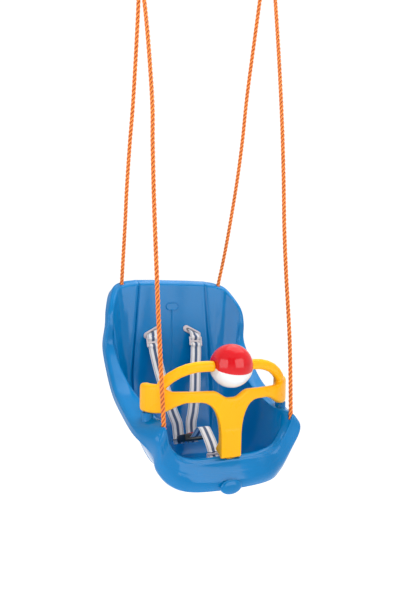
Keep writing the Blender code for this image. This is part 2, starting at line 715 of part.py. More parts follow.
def glide(name, frames, distance, parent, mat):
    """Three-bar glide lying in the plane of its webbing."""
    centre, across, out = frame_at(frames, distance)
    along = out.cross(across)
    turn = Matrix((across, along, out)).transposed().to_4x4()
    turn.translation = centre
    half = Vector((GLIDE_WIDTH / 2, GLIDE_LENGTH / 2, GLIDE_THICK / 2))
    obj = link(name, to_mesh(name, box(-half, half, 0.0006, 1)), mat, parent)
    obj.matrix_local = turn
    for k, side in enumerate((-1, 1)):
        low = min(side * 0.0017, side * 0.0067)
        high = max(side * 0.0017, side * 0.0067)
        window = box((-0.0131, low, -0.01), (0.0131, high, 0.01))
        cut = tool("cut_%s_%d" % (name, k), window, parent)
        cut.matrix_local = turn
        combine(obj, cut, "DIFFERENCE")
    return obj


def anchor_bar(name, location, turn, parent):
    """Bar behind a slot that holds the end of its webbing."""
    half = Vector((0.021, 0.0022, 0.007))
    obj = link(name, to_mesh(name, box(-half, half, 0.0012, 1)), grey_plastic(), parent, location)
    obj.rotation_euler = turn
    return obj


def mirrored(route, side):
    return [(side * x, y, z) for x, y, z in route]


def shoulder_straps(frame):
    for side, tag in ((1, "right"), (-1, "left")):
        slot_bezel(side, tag, frame)
        frames = ribbon_frames(mirrored(SHOULDER_ROUTE, side), side * SLOT_SLANT, 0.045)
        webbing_solid("shoulder_strap_" + tag, frames, ADJUSTER_AT, 0.014, frame)
        glide("strap_adjuster_" + tag, frames, ADJUSTER_AT, frame, grey_plastic())
        anchor_bar("strap_anchor_" + tag, (side * SLOT_CENTRE[0], 0.2851, SLOT_CENTRE[1]),
                   (0, side * SLOT_SLANT, 0), frame)


def crotch_strap(frame):
    frames = ribbon_frames(CROTCH_ROUTE)
    webbing_solid("crotch_strap", frames, CROTCH_GLIDE_AT, 0.010, frame)
    glide("crotch_adjuster", frames, CROTCH_GLIDE_AT, frame, grey_plastic())
    anchor_bar("crotch_anchor", (CROTCH_SLOT[0], CROTCH_SLOT[1], FLOOR - SHELL - 0.0028),
               (math.radians(90), 0, 0), frame)


def buckle(frame):
    """Black buckle with two tongues at its rear and the crotch strap at its front."""
    local = bpy.data.objects.new("buckle_frame", None)
    bpy.context.scene.collection.objects.link(local)
    local.parent = frame
    local.location = BUCKLE_CENTRE
    local.rotation_euler.x = BUCKLE_PITCH
    block = box((-0.024, -0.022, -0.0075), (0.024, 0.022, 0.0075), 0.003)
    body = link("buckle_body", to_mesh("buckle_body", block), black_plastic(), local)
    cuts = {"tongue": ((-0.0205, -0.001, -0.0022), (0.0205, 0.03, 0.0022)),
            "well": ((-0.0095, -0.0135, -0.0045), (0.0095, 0.0035, 0.01)),
            "mouth": ((-0.0135, -0.03, -0.0016), (0.0135, -0.0160, 0.0016))}
    for key, (low, high) in cuts.items():
        combine(body, tool("cut_buckle_" + key, box(low, high), local), "DIFFERENCE")
    button = box((-0.0090, -0.0130, -0.0005), (0.0090, 0.0030, 0.0092), 0.0012)
    link("buckle_button", to_mesh("buckle_button", button), red_plastic(), local)
    spring("buckle_spring", (0, -0.0075, -0.0042), (0, -0.0075, -0.0008), 0.0022, 0.0004, 3, local)
    for side, tag in ((1, "right"), (-1, "left")):
        low = Vector((min(side * 0.0045, side * 0.0195), 0.004, -0.0015))
        high = Vector((max(side * 0.0045, side * 0.0195), 0.026, 0.0015))
        tongue = link("buckle_tongue_" + tag, to_mesh("tongue", box(low, high)), steel(), local)
        low = Vector((side * LOOP_X - 0.0152, 0.0235, -0.0015))
        high = Vector((side * LOOP_X + 0.0152, 0.0345, 0.0015))
        combine(tongue, tool("add_loop_" + tag, box(low, high, 0.0008, 1), local), "UNION")
        low = Vector((side * LOOP_X - 0.0133, 0.0275, -0.01))
        high = Vector((side * LOOP_X + 0.0133, 0.0315, 0.01))
        combine(tongue, tool("cut_loop_" + tag, box(low, high), local), "DIFFERENCE")


# ---- ropes, knots, ferrules and rings -------------------------------------------------------
def loop_points(x, face):
    """Rope round the ring's wire: tail, over the top and back; face is the side of the long leg."""
    arc = [(face * -LOOP_RADIUS * math.cos(a), LOOP_LIFT + LOOP_RADIUS * math.sin(a))
           for a in (math.radians(v) for v in (0, 45, 90, 135, 180))]
    points = [(-face * PAIR_HALF, FERRULE[0] - 0.010), (-face * PAIR_HALF, FERRULE[0]),
              (-face * PAIR_HALF, FERRULE[1]), (-face * 0.0066, -0.020), (-face * LOOP_RADIUS, -0.009)]
    points += arc
    points += [(face * LOOP_RADIUS, -0.009), (face * 0.0066, -0.020), (face * PAIR_HALF, FERRULE[1]),
               (face * PAIR_HALF, FERRULE[0])]
    return [Vector((x, y, z)) for y, z in points]


def rope_route(side, hole, foot, face, x_top, bends):
    """Route of one rope from its loop at the ring down to its hole in the seat."""
    route = loop_points(side * x_top, face)
    top = Vector((side * x_top, face * PAIR_HALF, FERRULE[0] - 0.004))
    low = Vector((side * hole[0], hole[1] - RING_SETBACK, hole[2] - RING_HEIGHT))
    for share, across in bends:
        point = top.lerp(low, share)
        route.append(point + Vector((across * MM, 0, 0)))
    route.append(low)
    route.append(low + Vector((0, 0, foot)))
    return route


def rope(name, route):
    """Plain tube along a route: a point every two to three rope diameters, closer in the loop."""
    points = []
    pattern = spline(route, 12)
    pattern = [pattern[k * 12:(k + 1) * 12 + 1] for k in range(len(route) - 1)]
    for span in pattern:
        length = sum((b - a).length for a, b in zip(span[:-1], span[1:]))
        pieces = max(1, round(length / 0.024))
        points += resample(span, pieces + 1)[:-1]
    points.append(route[-1])
    curve = bpy.data.curves.new(name, "CURVE")
    curve.dimensions = "3D"
    curve.bevel_depth = ROPE_RADIUS
    curve.bevel_resolution = 2
    curve.use_fill_caps = True
    line = curve.splines.new("POLY")
    line.points.add(len(points) - 1)
    for target, point in zip(line.points, points):
        target.co = (*point, 1)
    obj = bpy.data.objects.new(name, curve)
    bpy.context.scene.collection.objects.link(obj)
    curve.materials.append(orange_rope())
    return obj


def knot(name, x, y, z):
    """Stopper knot as a ball, placed from the seat frame."""
    bm = bmesh.new()
    bmesh.ops.create_uvsphere(bm, u_segments=12, v_segments=8, radius=KNOT_RADIUS)
    link(name, to_mesh(name, bm), orange_rope(), None, (x, y - RING_SETBACK, z - RING_HEIGHT))


def ferrule(name, x):
    """Sleeve that closes a rope's loop round the ring."""
    low, high = FERRULE
    turn = Matrix.Rotation(math.radians(90), 4, "Z")
    bm = prism(stadium(0.0212, 0.0124, 5), high - low, "Z")
    bm.transform(turn)
    obj = link(name, to_mesh(name, bm), black_plastic(), None, (x, 0, (low + high) / 2))
    bm = prism(stadium(0.0180, 0.0092, 5), 0.05, "Z")
    bm.transform(turn)
    cut = tool("cut_" + name, bm)
    cut.location = obj.location
    combine(obj, cut, "DIFFERENCE")


def hanger_ring(name, x):
    """Steel ring in the XZ plane whose lowest wire lies on the hanging axis."""
    bm = bmesh.new()
    around = 36
    section = 8
    rows = []
    for i in range(around):
        a = 2 * math.pi * i / around
        row = []
        for j in range(section):
            b = 2 * math.pi * j / section
            reach = RING_RADIUS + RING_WIRE * math.cos(b)
            row.append(bm.verts.new((reach * math.cos(a), RING_WIRE * math.sin(b),
                                     RING_RADIUS + reach * math.sin(a))))
        rows.append(row)
    for i in range(around):
        for j in range(section):
            k = (j + 1) % section
            low = rows[i]
            high = rows[(i + 1) % around]
            bm.faces.new((low[j], high[j], high[k], low[k]))
    link(name, to_mesh(name, bm), steel(), None, (x, 0, 0))


def hangers():
    for side, tag in ((1, "right"), (-1, "left")):
        hanger_ring("hanger_ring_" + tag, side * RING_HALF_SPAN)
        x, y = FRONT_HOLE
        route = rope_route(side, (x, y, FRONT_SURFACE), -0.0224, -1, FRONT_ROPE_TOP,
                           BENDS["front_" + tag])
        rope("rope_front_" + tag, route)
        knot("knot_front_" + tag, side * (x + 0.002), y + 0.004, FRONT_SURFACE - 0.030)
        ferrule("ferrule_front_" + tag, side * FRONT_ROPE_TOP)
        x, y = REAR_HOLE
        route = rope_route(side, (x, y, REAR_SURFACE), -0.013, 1, REAR_ROPE_TOP, BENDS["rear_" + tag])
        rope("rope_rear_" + tag, route)
        knot("knot_rear_" + tag, side * x, y + 0.003, REAR_SURFACE - 0.0208)
        ferrule("ferrule_rear_" + tag, side * REAR_ROPE_TOP)


def main():
    clear_scene()
    axis = bpy.data.objects.new("swing_axis", None)
    bpy.context.scene.collection.objects.link(axis)
    frame = bpy.data.objects.new("seat_frame", None)
    bpy.context.scene.collection.objects.link(frame)
    frame.parent = axis
    frame.location = (0, -RING_SETBACK, -RING_HEIGHT)
    seat_shell(frame)
    guard_bar(frame)
    ball(frame)
    latch(frame)
    shoulder_straps(frame)
    crotch_strap(frame)
    buckle(frame)
    hangers()


main()
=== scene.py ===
"""Looks of the toddler bucket swing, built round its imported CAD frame.

Metres, +Z up, the seat faces -Y.  Shapes are given in the seat's own frame, whose origin lies
midway between the two front rope holes, and moved to the row frame when a piece is added.
Ropes and rings are given in the row frame itself.
"""

import math

import bmesh
import bpy
from mathutils import Matrix, Vector


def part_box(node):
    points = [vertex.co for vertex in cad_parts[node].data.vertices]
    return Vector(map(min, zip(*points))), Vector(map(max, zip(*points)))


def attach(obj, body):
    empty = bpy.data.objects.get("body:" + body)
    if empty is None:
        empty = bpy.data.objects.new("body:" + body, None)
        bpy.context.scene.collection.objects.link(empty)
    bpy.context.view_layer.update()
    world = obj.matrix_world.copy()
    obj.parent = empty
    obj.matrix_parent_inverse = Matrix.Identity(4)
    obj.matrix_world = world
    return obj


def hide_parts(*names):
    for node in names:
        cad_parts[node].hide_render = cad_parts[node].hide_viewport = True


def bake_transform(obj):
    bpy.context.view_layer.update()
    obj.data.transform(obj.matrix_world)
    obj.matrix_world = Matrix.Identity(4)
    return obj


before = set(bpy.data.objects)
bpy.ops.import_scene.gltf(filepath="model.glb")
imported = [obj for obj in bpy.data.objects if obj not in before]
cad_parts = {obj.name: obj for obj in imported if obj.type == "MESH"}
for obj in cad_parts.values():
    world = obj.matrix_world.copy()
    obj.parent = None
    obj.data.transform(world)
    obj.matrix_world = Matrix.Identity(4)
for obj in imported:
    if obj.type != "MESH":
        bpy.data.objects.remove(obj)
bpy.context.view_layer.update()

MM = 0.001

# ---- dimensions shared with the CAD part ---------------------------------------------------
BALL_CENTRE = Vector((0.0, 0.002, 0.1055))
BALL_RADIUS = 0.040
BALL_FLAT = 0.0355
BALL_TILT = math.radians(18)
SHELL = 0.0035
FLOOR = -0.118
ROPE_HOLE = 0.0052
FRONT_HOLE = (0.132, 0.000)
REAR_HOLE = (0.117, 0.281)
PEG = (0.1425, 0.052)
PEG_RADIUS = 0.005
PEG_TOP = 0.046
COLLAR_RADIUS = 0.0105
COLLAR_TOP = 0.0217
SLOT_CENTRE = (0.048, 0.148)
SLOT_SLANT = math.radians(27)
SLOT_LENGTH = 0.031
SLOT_WIDTH = 0.007
CROTCH_SLOT = (0.0, 0.062)
WEB_WIDTH = 0.025
WEB_THICK = 0.0016
TENON_HALF = (0.008, 0.0042)
TENON_Y = 0.0015
CATCH_Z = -0.106
LATCH_X = -0.013
BUCKLE_CENTRE = (0.0, 0.168, -0.066)
BUCKLE_PITCH = math.radians(-18)
WEAVE = 0.0022
ADJUSTER_AT = 0.036
CROTCH_GLIDE_AT = 0.040
FRONT_ROPE_TOP = 0.1480
REAR_ROPE_TOP = 0.1340
FRONT_SURFACE = 0.004
REAR_SURFACE = 0.254
FRONT_FOOT = -0.0224
REAR_FOOT = -0.013
LOOP_RADIUS = 0.0080
LOOP_LIFT = 0.0010
PAIR_HALF = 0.00435
FERRULE = (-0.052, -0.036)
RING_HALF_SPAN = 0.141
RING_RADIUS = 0.026
RING_WIRE = 0.003

SHOULDER_ROUTE = (
    (48, 282.2, 148), (48, 277, 148), (48.2, 271.5, 147.8), (50, 264.5, 142), (51, 260, 128),
    (48.5, 252, 100), (42, 240, 60), (34, 224, 20), (24, 211, -20), (17, 205, -42),
    (15.8, 201.3, -58), (15.8, 196.0, -75), (15.8, 192.9, -84.5))
CROTCH_ROUTE = (
    (0, 62, -121.8), (0, 62.5, -112), (0, 63, -92), (0, 66, -71), (0, 77, -56), (0, 92, -43.5),
    (0, 105, -34), (0, 113, -32), (0, 122, -37), (0, 134, -49), (0, 143, -57), (0, 151.0, -60.5))

# Slow bends of each rope: share of the way down from the ferrule, and offset in X in millimetres.
BENDS = {
    "front_left": ((0.20, 11), (0.36, 13.4), (0.45, 9.5), (0.56, 6.0), (0.68, 3.6), (0.82, 1.3)),
    "front_right": ((0.20, 5.5), (0.36, 7.0), (0.49, 5.3), (0.60, 2.4), (0.70, 2.4), (0.85, 4.4)),
    "rear_left": ((0.20, 3.5), (0.44, 3.6), (0.57, 1.3), (0.70, 0.0), (0.82, 0.5)),
    "rear_right": ((0.20, 1.5), (0.38, 3.5), (0.51, 8.0), (0.64, 9.6), (0.78, 8.0), (0.90, 4.8))}

# Half of the seat as stations round its edge, from the middle of the back to the middle of the
# front, in millimetres: edge of the floor, start of the curve into the floor, inner edge of the
# rim, outer edge of the rim, swell of the rim, and step to the end of the skirt.
STATIONS = (
    ((0, 190), (0, 279, 50), (0, 277, 249), (0, 299, 262), (0, -2, 4), (0, 4, -17)),
    ((30, 190), (44, 278, 50), (38, 277, 249), (40, 299, 262), (0, -2, 4), (0, 4, -17)),
    ((56, 187), (88, 271, 60), (74, 273, 249), (76, 298, 261), (0, -2, 4), (0, 4, -17)),
    ((59, 186), (93, 275, 60), (79, 276, 249), (82, 297, 261), (0, -2, 4), (1, 4, -17)),
    ((62, 185), (99, 267, 60), (86, 272, 248), (90, 296, 260), (0, -2, 4), (2, 4, -16)),
    ((66, 182), (110, 262, 55), (107, 271, 245), (114, 293, 256), (0, -1, 4), (4, 4, -14)),
    ((71, 177), (118, 254, 52), (129, 266, 236), (138, 279, 244), (0, -1, 3), (5, 7, -9)),
    ((68, 168), (124, 245, 48), (145, 243, 203), (157, 245, 203), (0, -3, 1), (3, 11, -3)),
    ((70, 158), (127, 236, 42), (148, 236, 168), (162, 236, 168), (0, -3, 0), (2, 12, -1)),
    ((71, 146), (129, 224, 36), (147, 239, 130), (166, 241, 127), (0, -3, 1), (2, 11, -4)),
    ((73, 130), (129, 202, 26), (142, 214, 88), (168, 209, 84), (0, -3, 3), (2, 8, -8)),
    ((78, 111), (127, 166, 14), (134, 172, 51), (170, 165, 43), (1, -1, 4), (1, 4, -11)),
    ((82, 90), (124, 114, 5), (128, 116, 27), (171, 108, 16), (1, 0, 5), (0, 1, -12)),
    ((85, 66), (121, 61, -10), (125, 60, 12), (170, 58, -3), (1, 0, 5), (0, 0, -12)),
    ((84, 53), (120, 38, -13), (124, 36, 9), (164, 27, -18), (2, -14, 8), (-1, 1, -9)),
    ((79, 43), (118, 24, -24), (124, 19, 2), (150, 9, -41), (3, -26, 12), (-1, 4, -5)),
    ((68, 38), (109, 19, -50), (115, 14, -29), (140, 12, -74), (0, -15, 6), (-1, 5, -3)),
    ((54, 36), (92, 18, -70), (96, 12, -52), (115, 5, -103), (0, -11, 6), (0, 5, -2)),
    ((36, 35), (59, 17, -79), (60, 12, -62), (78, -10, -115), (0, -12, 7), (0, 6, -2)),
    ((0, 35), (0, 17, -79), (0, 12, -62), (0, -22, -115), (0, -12, 7), (0, 6, -2)),
)

axle_low, axle_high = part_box("ball_axle")
SEAT = (axle_low + axle_high) / 2 - BALL_CENTRE      # origin of the seat's frame in the row frame


# ---- shader helpers ------------------------------------------------------------------------
class Shader:
    """A Principled material with small helpers for its node tree."""

    def __init__(self, name):
        self.mat = bpy.data.materials.new(name)
        self.mat.use_nodes = True
        self.tree = self.mat.node_tree
        self.main = self.tree.nodes["Principled BSDF"]

    def node(self, kind, **values):
        made = self.tree.nodes.new("ShaderNode" + kind)
        for key, value in values.items():
            if hasattr(made, key):
                setattr(made, key, value)
            else:
                made.inputs[key.replace("_", " ")].default_value = value
        return made

    def link(self, source, target):
        self.tree.links.new(source, target)

    def math(self, operation, a, b=0.0):
        made = self.node("Math", operation=operation)
        for socket, value in zip(made.inputs, (a, b)):
            if isinstance(value, (int, float)):
                socket.default_value = value
            else:
                self.link(value, socket)
        return made.outputs[0]

    def ramp(self, source, stops):
        made = self.node("ValToRGB")
        elements = made.color_ramp.elements
        while len(elements) < len(stops):
            elements.new(0.5)
        for element, (position, colour) in zip(elements, stops):
            element.position = position
            element.color = (*colour, 1.0)
        self.link(source, made.inputs[0])
        return made.outputs[0]

    def noise(self, scale, detail=3.0, coordinates=None, stretch=None):
        made = self.node("TexNoise", Scale=scale, Detail=detail)
        if coordinates is None:
            coordinates = self.node("TexCoord").outputs["Object"]
        if stretch is not None:
            mapping = self.node("Mapping")
            mapping.inputs["Scale"].default_value = stretch
            self.link(coordinates, mapping.inputs["Vector"])
            coordinates = mapping.outputs[0]
        self.link(coordinates, made.inputs["Vector"])
        return made.outputs["Fac"]

    def bump(self, height, strength, distance):
        made = self.node("Bump", Strength=strength, Distance=distance)
        self.link(height, made.inputs["Height"])
        self.link(made.outputs[0], self.main.inputs["Normal"])


def scaled(colour, factor):
    return tuple(min(c * factor, 1.0) for c in colour)


def plastic(name, colour, roughness, coat=0.0, grain=700.0, depth=0.00006, specular=0.5, mottle=0.05):
    """Moulded plastic: slight colour drift, uneven gloss, fine grain and rubbed spots."""
    shader = Shader(name)
    drift = shader.noise(14.0, 4.0)
    colour_out = shader.ramp(drift, ((0.3, scaled(colour, 1 - mottle)), (0.7, scaled(colour, 1 + mottle))))
    shader.link(colour_out, shader.main.inputs["Base Color"])
    rub = shader.noise(55.0, 6.0)
    shine = shader.ramp(rub, ((0.35, (roughness * 0.85,) * 3), (0.75, (roughness * 1.25,) * 3)))
    shader.link(shine, shader.main.inputs["Roughness"])
    shader.main.inputs["Specular IOR Level"].default_value = specular
    shader.main.inputs["Coat Weight"].default_value = coat
    shader.main.inputs["Coat Roughness"].default_value = 0.08
    fine = shader.noise(grain, 2.0)
    shader.bump(fine, 0.35, depth)
    return shader.mat


def metal(name, colour, roughness):
    """Drawn steel: fine lines and faint tarnish."""
    shader = Shader(name)
    tarnish = shader.noise(60.0, 5.0)
    tones = shader.ramp(tarnish, ((0.35, scaled(colour, 0.8)), (0.7, colour)))
    shader.link(tones, shader.main.inputs["Base Color"])
    shader.main.inputs["Metallic"].default_value = 1.0
    lines = shader.noise(300.0, 4.0, stretch=(1.0, 1.0, 12.0))
    shader.link(shader.ramp(lines, ((0.3, (roughness * 0.7,) * 3), (0.7, (roughness * 1.4,) * 3))),
                shader.main.inputs["Roughness"])
    shader.bump(lines, 0.2, 0.00003)
    return shader.mat


def rope_fibre(name, colour):
    """Twisted polypropylene: fibres along each strand, painted shade on each strand's inner side where the
    strands lie against each other, light fuzz.
    """
    shader = Shader(name)
    uv = shader.node("UVMap", uv_map="lay").outputs[0]
    fibres = shader.noise(1.0, 3.0, uv, (26.0, 190.0, 1.0))
    patches = shader.noise(40.0, 3.0)
    mixed = shader.math("ADD", shader.math("MULTIPLY", fibres, 0.65), shader.math("MULTIPLY", patches, 0.35))
    tones = shader.ramp(mixed, ((0.32, scaled(colour, 0.7)), (0.5, colour), (0.72, scaled(colour, 1.3))))
    # Painted shade: each strand is darkened towards its inner side, where it lies against the other strands,
    # and lay multiplies that shade into the fibre colour.
    parts = shader.node("SeparateXYZ")
    shader.link(uv, parts.inputs[0])
    turn = shader.math("FRACT", parts.outputs[0])
    outward = shader.math("MULTIPLY", shader.math("ABSOLUTE", shader.math("SUBTRACT", turn, 0.5)), 2.0)
    shade = shader.ramp(outward, ((0.50, (0.50, 0.26, 0.14)),
                                  (0.72, (0.88, 0.74, 0.60)),
                                  (0.90, (1.0, 1.0, 1.0))))
    lay = shader.node("MixRGB", blend_type="MULTIPLY")
    lay.inputs[0].default_value = 1.0
    shader.link(tones, lay.inputs[1])
    shader.link(shade, lay.inputs[2])
    shader.link(lay.outputs[0], shader.main.inputs["Base Color"])
    shader.main.inputs["Roughness"].default_value = 0.55
    shader.main.inputs["Sheen Weight"].default_value = 0.25
    shader.main.inputs["Sheen Roughness"].default_value = 0.5
    shader.bump(fibres, 0.6, 0.0004)
    return shader.mat


def webbing_fabric(name, base, stripe, edge):
    """Woven polyester: a dark centre stripe, grey selvedges and fine ribs both ways, with painted shade in
    the hollows between the ribs.
    """
    shader = Shader(name)
    uv = shader.node("UVMap", uv_map="lay").outputs[0]
    parts = shader.node("SeparateXYZ")
    shader.link(uv, parts.inputs[0])
    across = shader.math("ABSOLUTE", shader.math("SUBTRACT", parts.outputs[0], 0.5))
    wobble = shader.noise(900.0, 2.0)
    across = shader.math("ADD", across, shader.math("MULTIPLY", shader.math("SUBTRACT", wobble, 0.5), 0.02))
    bands = shader.ramp(across, ((0.0, stripe), (0.115, stripe), (0.14, base), (0.36, base),
                                 (0.40, edge), (0.445, edge), (0.47, base)))
    ribs = shader.node("TexWave", wave_type="BANDS", bands_direction="Y", Scale=14.0, Distortion=0.0)
    shader.link(uv, ribs.inputs["Vector"])
    warp = shader.node("TexWave", wave_type="BANDS", bands_direction="X", Scale=7.0, Distortion=0.0)
    shader.link(uv, warp.inputs["Vector"])
    # Painted shade: where the weave's bump is low, in the hollows between the ribs, darker multiplies a
    # darkening into the colour of the bands.
    weave = shader.math("MULTIPLY", ribs.outputs["Fac"], warp.outputs["Fac"])
    darker = shader.node("MixRGB", blend_type="MULTIPLY")
    darker.inputs[0].default_value = 0.35
    shader.link(bands, darker.inputs[1])
    shader.link(shader.ramp(weave, ((0.0, (0.62, 0.62, 0.64)), (0.6, (1.0, 1.0, 1.0)))), darker.inputs[2])
    shader.link(darker.outputs[0], shader.main.inputs["Base Color"])
    shader.main.inputs["Roughness"].default_value = 0.75
    shader.main.inputs["Sheen Weight"].default_value = 0.3
    shader.main.inputs["Sheen Roughness"].default_value = 0.4
    shader.bump(weave, 0.7, 0.0005)
    return shader.mat


BLUE = (0.000, 0.180, 0.465)
YELLOW = (1.0, 0.455, 0.002)
RED = (0.640, 0.004, 0.010)
WHITE = (0.78, 0.79, 0.80)
ORANGE = (0.950, 0.255, 0.008)

MATERIALS = {
    "seat": plastic("seat_plastic", BLUE, 0.15, coat=0.06, specular=0.22),
    "guard": plastic("guard_plastic", YELLOW, 0.30, coat=0.02, specular=0.18, mottle=0.03),
    "ball_red": plastic("ball_red_plastic", RED, 0.12, coat=0.4, specular=0.15, mottle=0.03),
    "ball_white": plastic("ball_white_plastic", WHITE, 0.18, coat=0.3, mottle=0.02),
    "trim": plastic("trim_plastic", (0.56, 0.50, 0.52), 0.30, grain=1100.0, depth=0.0001),
    "black": plastic("black_plastic", (0.016, 0.020, 0.020), 0.38, grain=1300.0, depth=0.00012),
    "button": plastic("button_plastic", (0.50, 0.008, 0.016), 0.30, coat=0.1),
    "steel": metal("drawn_steel", (0.62, 0.62, 0.64), 0.28),
    "rope": rope_fibre("rope_fibre", ORANGE),
    "web": webbing_fabric("harness_webbing", (0.88, 0.86, 0.86), (0.055, 0.095, 0.19), (0.42, 0.43, 0.46)),
}


# ---- geometry helpers ----------------------------------------------------------------------
def add_piece(name, bm, mat, body, replaces=(), smooth=40, shift=True):
    """Turn a bmesh in the seat's frame into a piece that rides on a body."""
    bmesh.ops.recalc_face_normals(bm, faces=bm.faces[:])
    if shift:
        bmesh.ops.translate(bm, verts=bm.verts[:], vec=SEAT)
    mesh = bpy.data.meshes.new(name)
    bm.to_mesh(mesh)
    bm.free()
    obj = bpy.data.objects.new(name, mesh)
    bpy.context.scene.collection.objects.link(obj)
    mesh.materials.append(MATERIALS[mat])
    mesh.shade_smooth()
    mesh.set_sharp_from_angle(angle=math.radians(smooth))
    if body is not None:
        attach(obj, body)
    if replaces:
        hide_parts(*replaces)
    return obj


def bake(obj):
    """Apply an object's modifiers to its mesh."""
    graph = bpy.context.evaluated_depsgraph_get()
    mesh = bpy.data.meshes.new_from_object(obj.evaluated_get(graph))
    obj.modifiers.clear()
    obj.data = mesh


def loft(rings, uv=False, closed=False, lengths=None, across=None):
    """Solid through rings of equal point count; uv writes the map "lay" round and along it."""
    bm = bmesh.new()
    rows = [[bm.verts.new(point) for point in ring] for ring in rings]
    count = len(rows[0])
    layer = bm.loops.layers.uv.new("lay") if uv else None
    spans = len(rows) if closed else len(rows) - 1
    for i in range(spans):
        low = rows[i]
        high = rows[(i + 1) % len(rows)]
        for k in range(count):
            j = (k + 1) % count
            face = bm.faces.new((low[k], low[j], high[j], high[k]))
            if uv:
                u0 = across[k] if across else k / count
                u1 = across[j] if across else (k + 1) / count
                v0 = lengths[i]
                v1 = lengths[i + 1]
                for loop, value in zip(face.loops, ((u0, v0), (u1, v0), (u1, v1), (u0, v1))):
                    loop[layer].uv = value
    if not closed:
        bm.faces.new(rows[0][::-1])
        bm.faces.new(rows[-1])
    return bm


def lathe(profile, sides, centre):
    """Solid of revolution: profile of (radius, height) about an upright axis through centre."""
    rings = []
    for radius, height in profile:
        ring = []
        for k in range(sides):
            a = 2 * math.pi * k / sides
            u = radius * math.cos(a)
            v = radius * math.sin(a)
            ring.append(Vector((u, v, height)) + centre)
        rings.append(ring)
    return loft(rings)


def cylinder(radius, start, end, sides=32):
    start = Vector(start)
    end = Vector(end)
    turn = (end - start).to_track_quat("Z", "Y").to_matrix().to_4x4()
    bm = bmesh.new()
    bmesh.ops.create_cone(bm, cap_ends=True, segments=sides, radius1=radius, radius2=radius,
                          depth=(end - start).length,
                          matrix=Matrix.Translation((start + end) / 2) @ turn)
    return bm


def box(low, high):
    low = Vector(low)
    high = Vector(high)
    bm = bmesh.new()
    size = Matrix.Diagonal((*(high - low), 1.0))
    bmesh.ops.create_cube(bm, size=1.0, matrix=Matrix.Translation((low + high) / 2) @ size)
    return bm


def stadium(length, width, steps=8):
    radius = width / 2
    reach = length / 2 - radius
    points = []
    for side in (1, -1):
        for k in range(steps + 1):
            angle = math.pi * k / steps - math.pi / 2
            points.append((side * (reach + radius * math.cos(angle)), side * radius * math.sin(angle)))
    return points


def prism(outline, depth, axis="Y"):
    def place(a, b, c):
        return (a, c, b) if axis == "Y" else (a, b, c)
    return loft([[Vector(place(a, b, side * depth / 2)) for a, b in outline] for side in (-1, 1)])


def smoothstep(low, high, value):
    t = min(max((value - low) / (high - low), 0.0), 1.0)
    return t * t * (3 - 2 * t)


def catmull(a, b, c, d, t):
    return 0.5 * (2 * b + (c - a) * t + (2 * a - 5 * b + 4 * c - d) * t ** 2
                  + (3 * b - a - 3 * c + d) * t ** 3)


def spline(points, per_span):
    """Catmull-Rom curve through points."""
    result = []
    for i in range(len(points) - 1):
        b = points[i]
        c = points[i + 1]
        a = points[i - 1] if i else 2 * b - c
        d = points[i + 2] if i + 2 < len(points) else 2 * c - b
        for k in range(per_span):
            result.append(catmull(a, b, c, d, k / per_span))
    result.append(points[-1].copy())
    return result


def resample(points, spacing):
    """Points at equal arc length along a polyline."""
    travelled = [0.0]
    for a, b in zip(points[:-1], points[1:]):
        travelled.append(travelled[-1] + (b - a).length)
    count = max(2, round(travelled[-1] / spacing) + 1)
    result = []
    k = 0
    for i in range(count):
        target = travelled[-1] * i / (count - 1)
        while k < len(points) - 2 and travelled[k + 1] < target:
            k += 1
        span = travelled[k + 1] - travelled[k]
        result.append(points[k].lerp(points[k + 1], (target - travelled[k]) / span))
    return result


# ---- seat ----------------------------------------------------------------------------------
EVEN_STEPS = [k / 8 for k in range(8)]
CREASE_STEPS = [0, 0.012, 0.025, 0.04, 0.06, 0.09, 0.14, 0.2, 0.3, 0.45, 0.6, 0.8]
FLOOR_ROWS = 5
CURVE_ROWS = 14
WALL_ROWS = 16
RIM_ROWS = 44
SKIRT_ROWS = 8
FLOOR_CENTRE_Y = 0.112
KNEE_REACH = 0.38            # handle of the lower curve at the knee, as a share of the knee's height
FLOOR_REACH = 0.36           # handle at the floor's edge, as a share of the way out to the knee
SLOT_PLANE = 0.277           # place in Y of the harness slots' cutters

CREASE_DEPTH = 0.0012
CREASE_HALF = 0.0013
CREASE_ENDS = (0.056, 0.066, 0.196, 0.208)     # heights where the crease fades in and out
FRONT_FROM = (13.4, 14.6)    # stations between which the front rim's detail fades in
BEAD_HEIGHT = 0.0014
BEAD_AT = 0.20               # share of the way across the rim
BEAD_HALF = 0.024
LEDGE_DEPTH = 0.0004
LEDGE_AT = (0.52, 0.56)


def seat_vectors():
    """The six guiding vectors of every column round the seat, with its station number."""
    def vectors(station, side):
        base, knee, inner, outer, swell, skirt = station
        flip = Vector((side, 1, 1)) * MM
        floor_edge = Vector((base[0], base[1], FLOOR / MM))
        return [Vector(v) * flip for v in (floor_edge, knee, inner, outer, swell, skirt)]
    ring = [vectors(s, 1) for s in STATIONS] + [vectors(s, -1) for s in STATIONS[-2:0:-1]]
    count = len(ring)
    columns = []
    for i in range(count):
        steps = EVEN_STEPS
        if i == 0:
            steps = CREASE_STEPS
        elif i == count - 1:
            steps = [0.0] + [1 - t for t in CREASE_STEPS[:0:-1]]
        quad = [ring[(i + k - 1) % count] for k in range(4)]
        for t in steps:
            number = i + t
            if number > count / 2:
                number = count - number
            columns.append((number, [catmull(*(q[k] for q in quad), t) for k in range(6)]))
    return columns


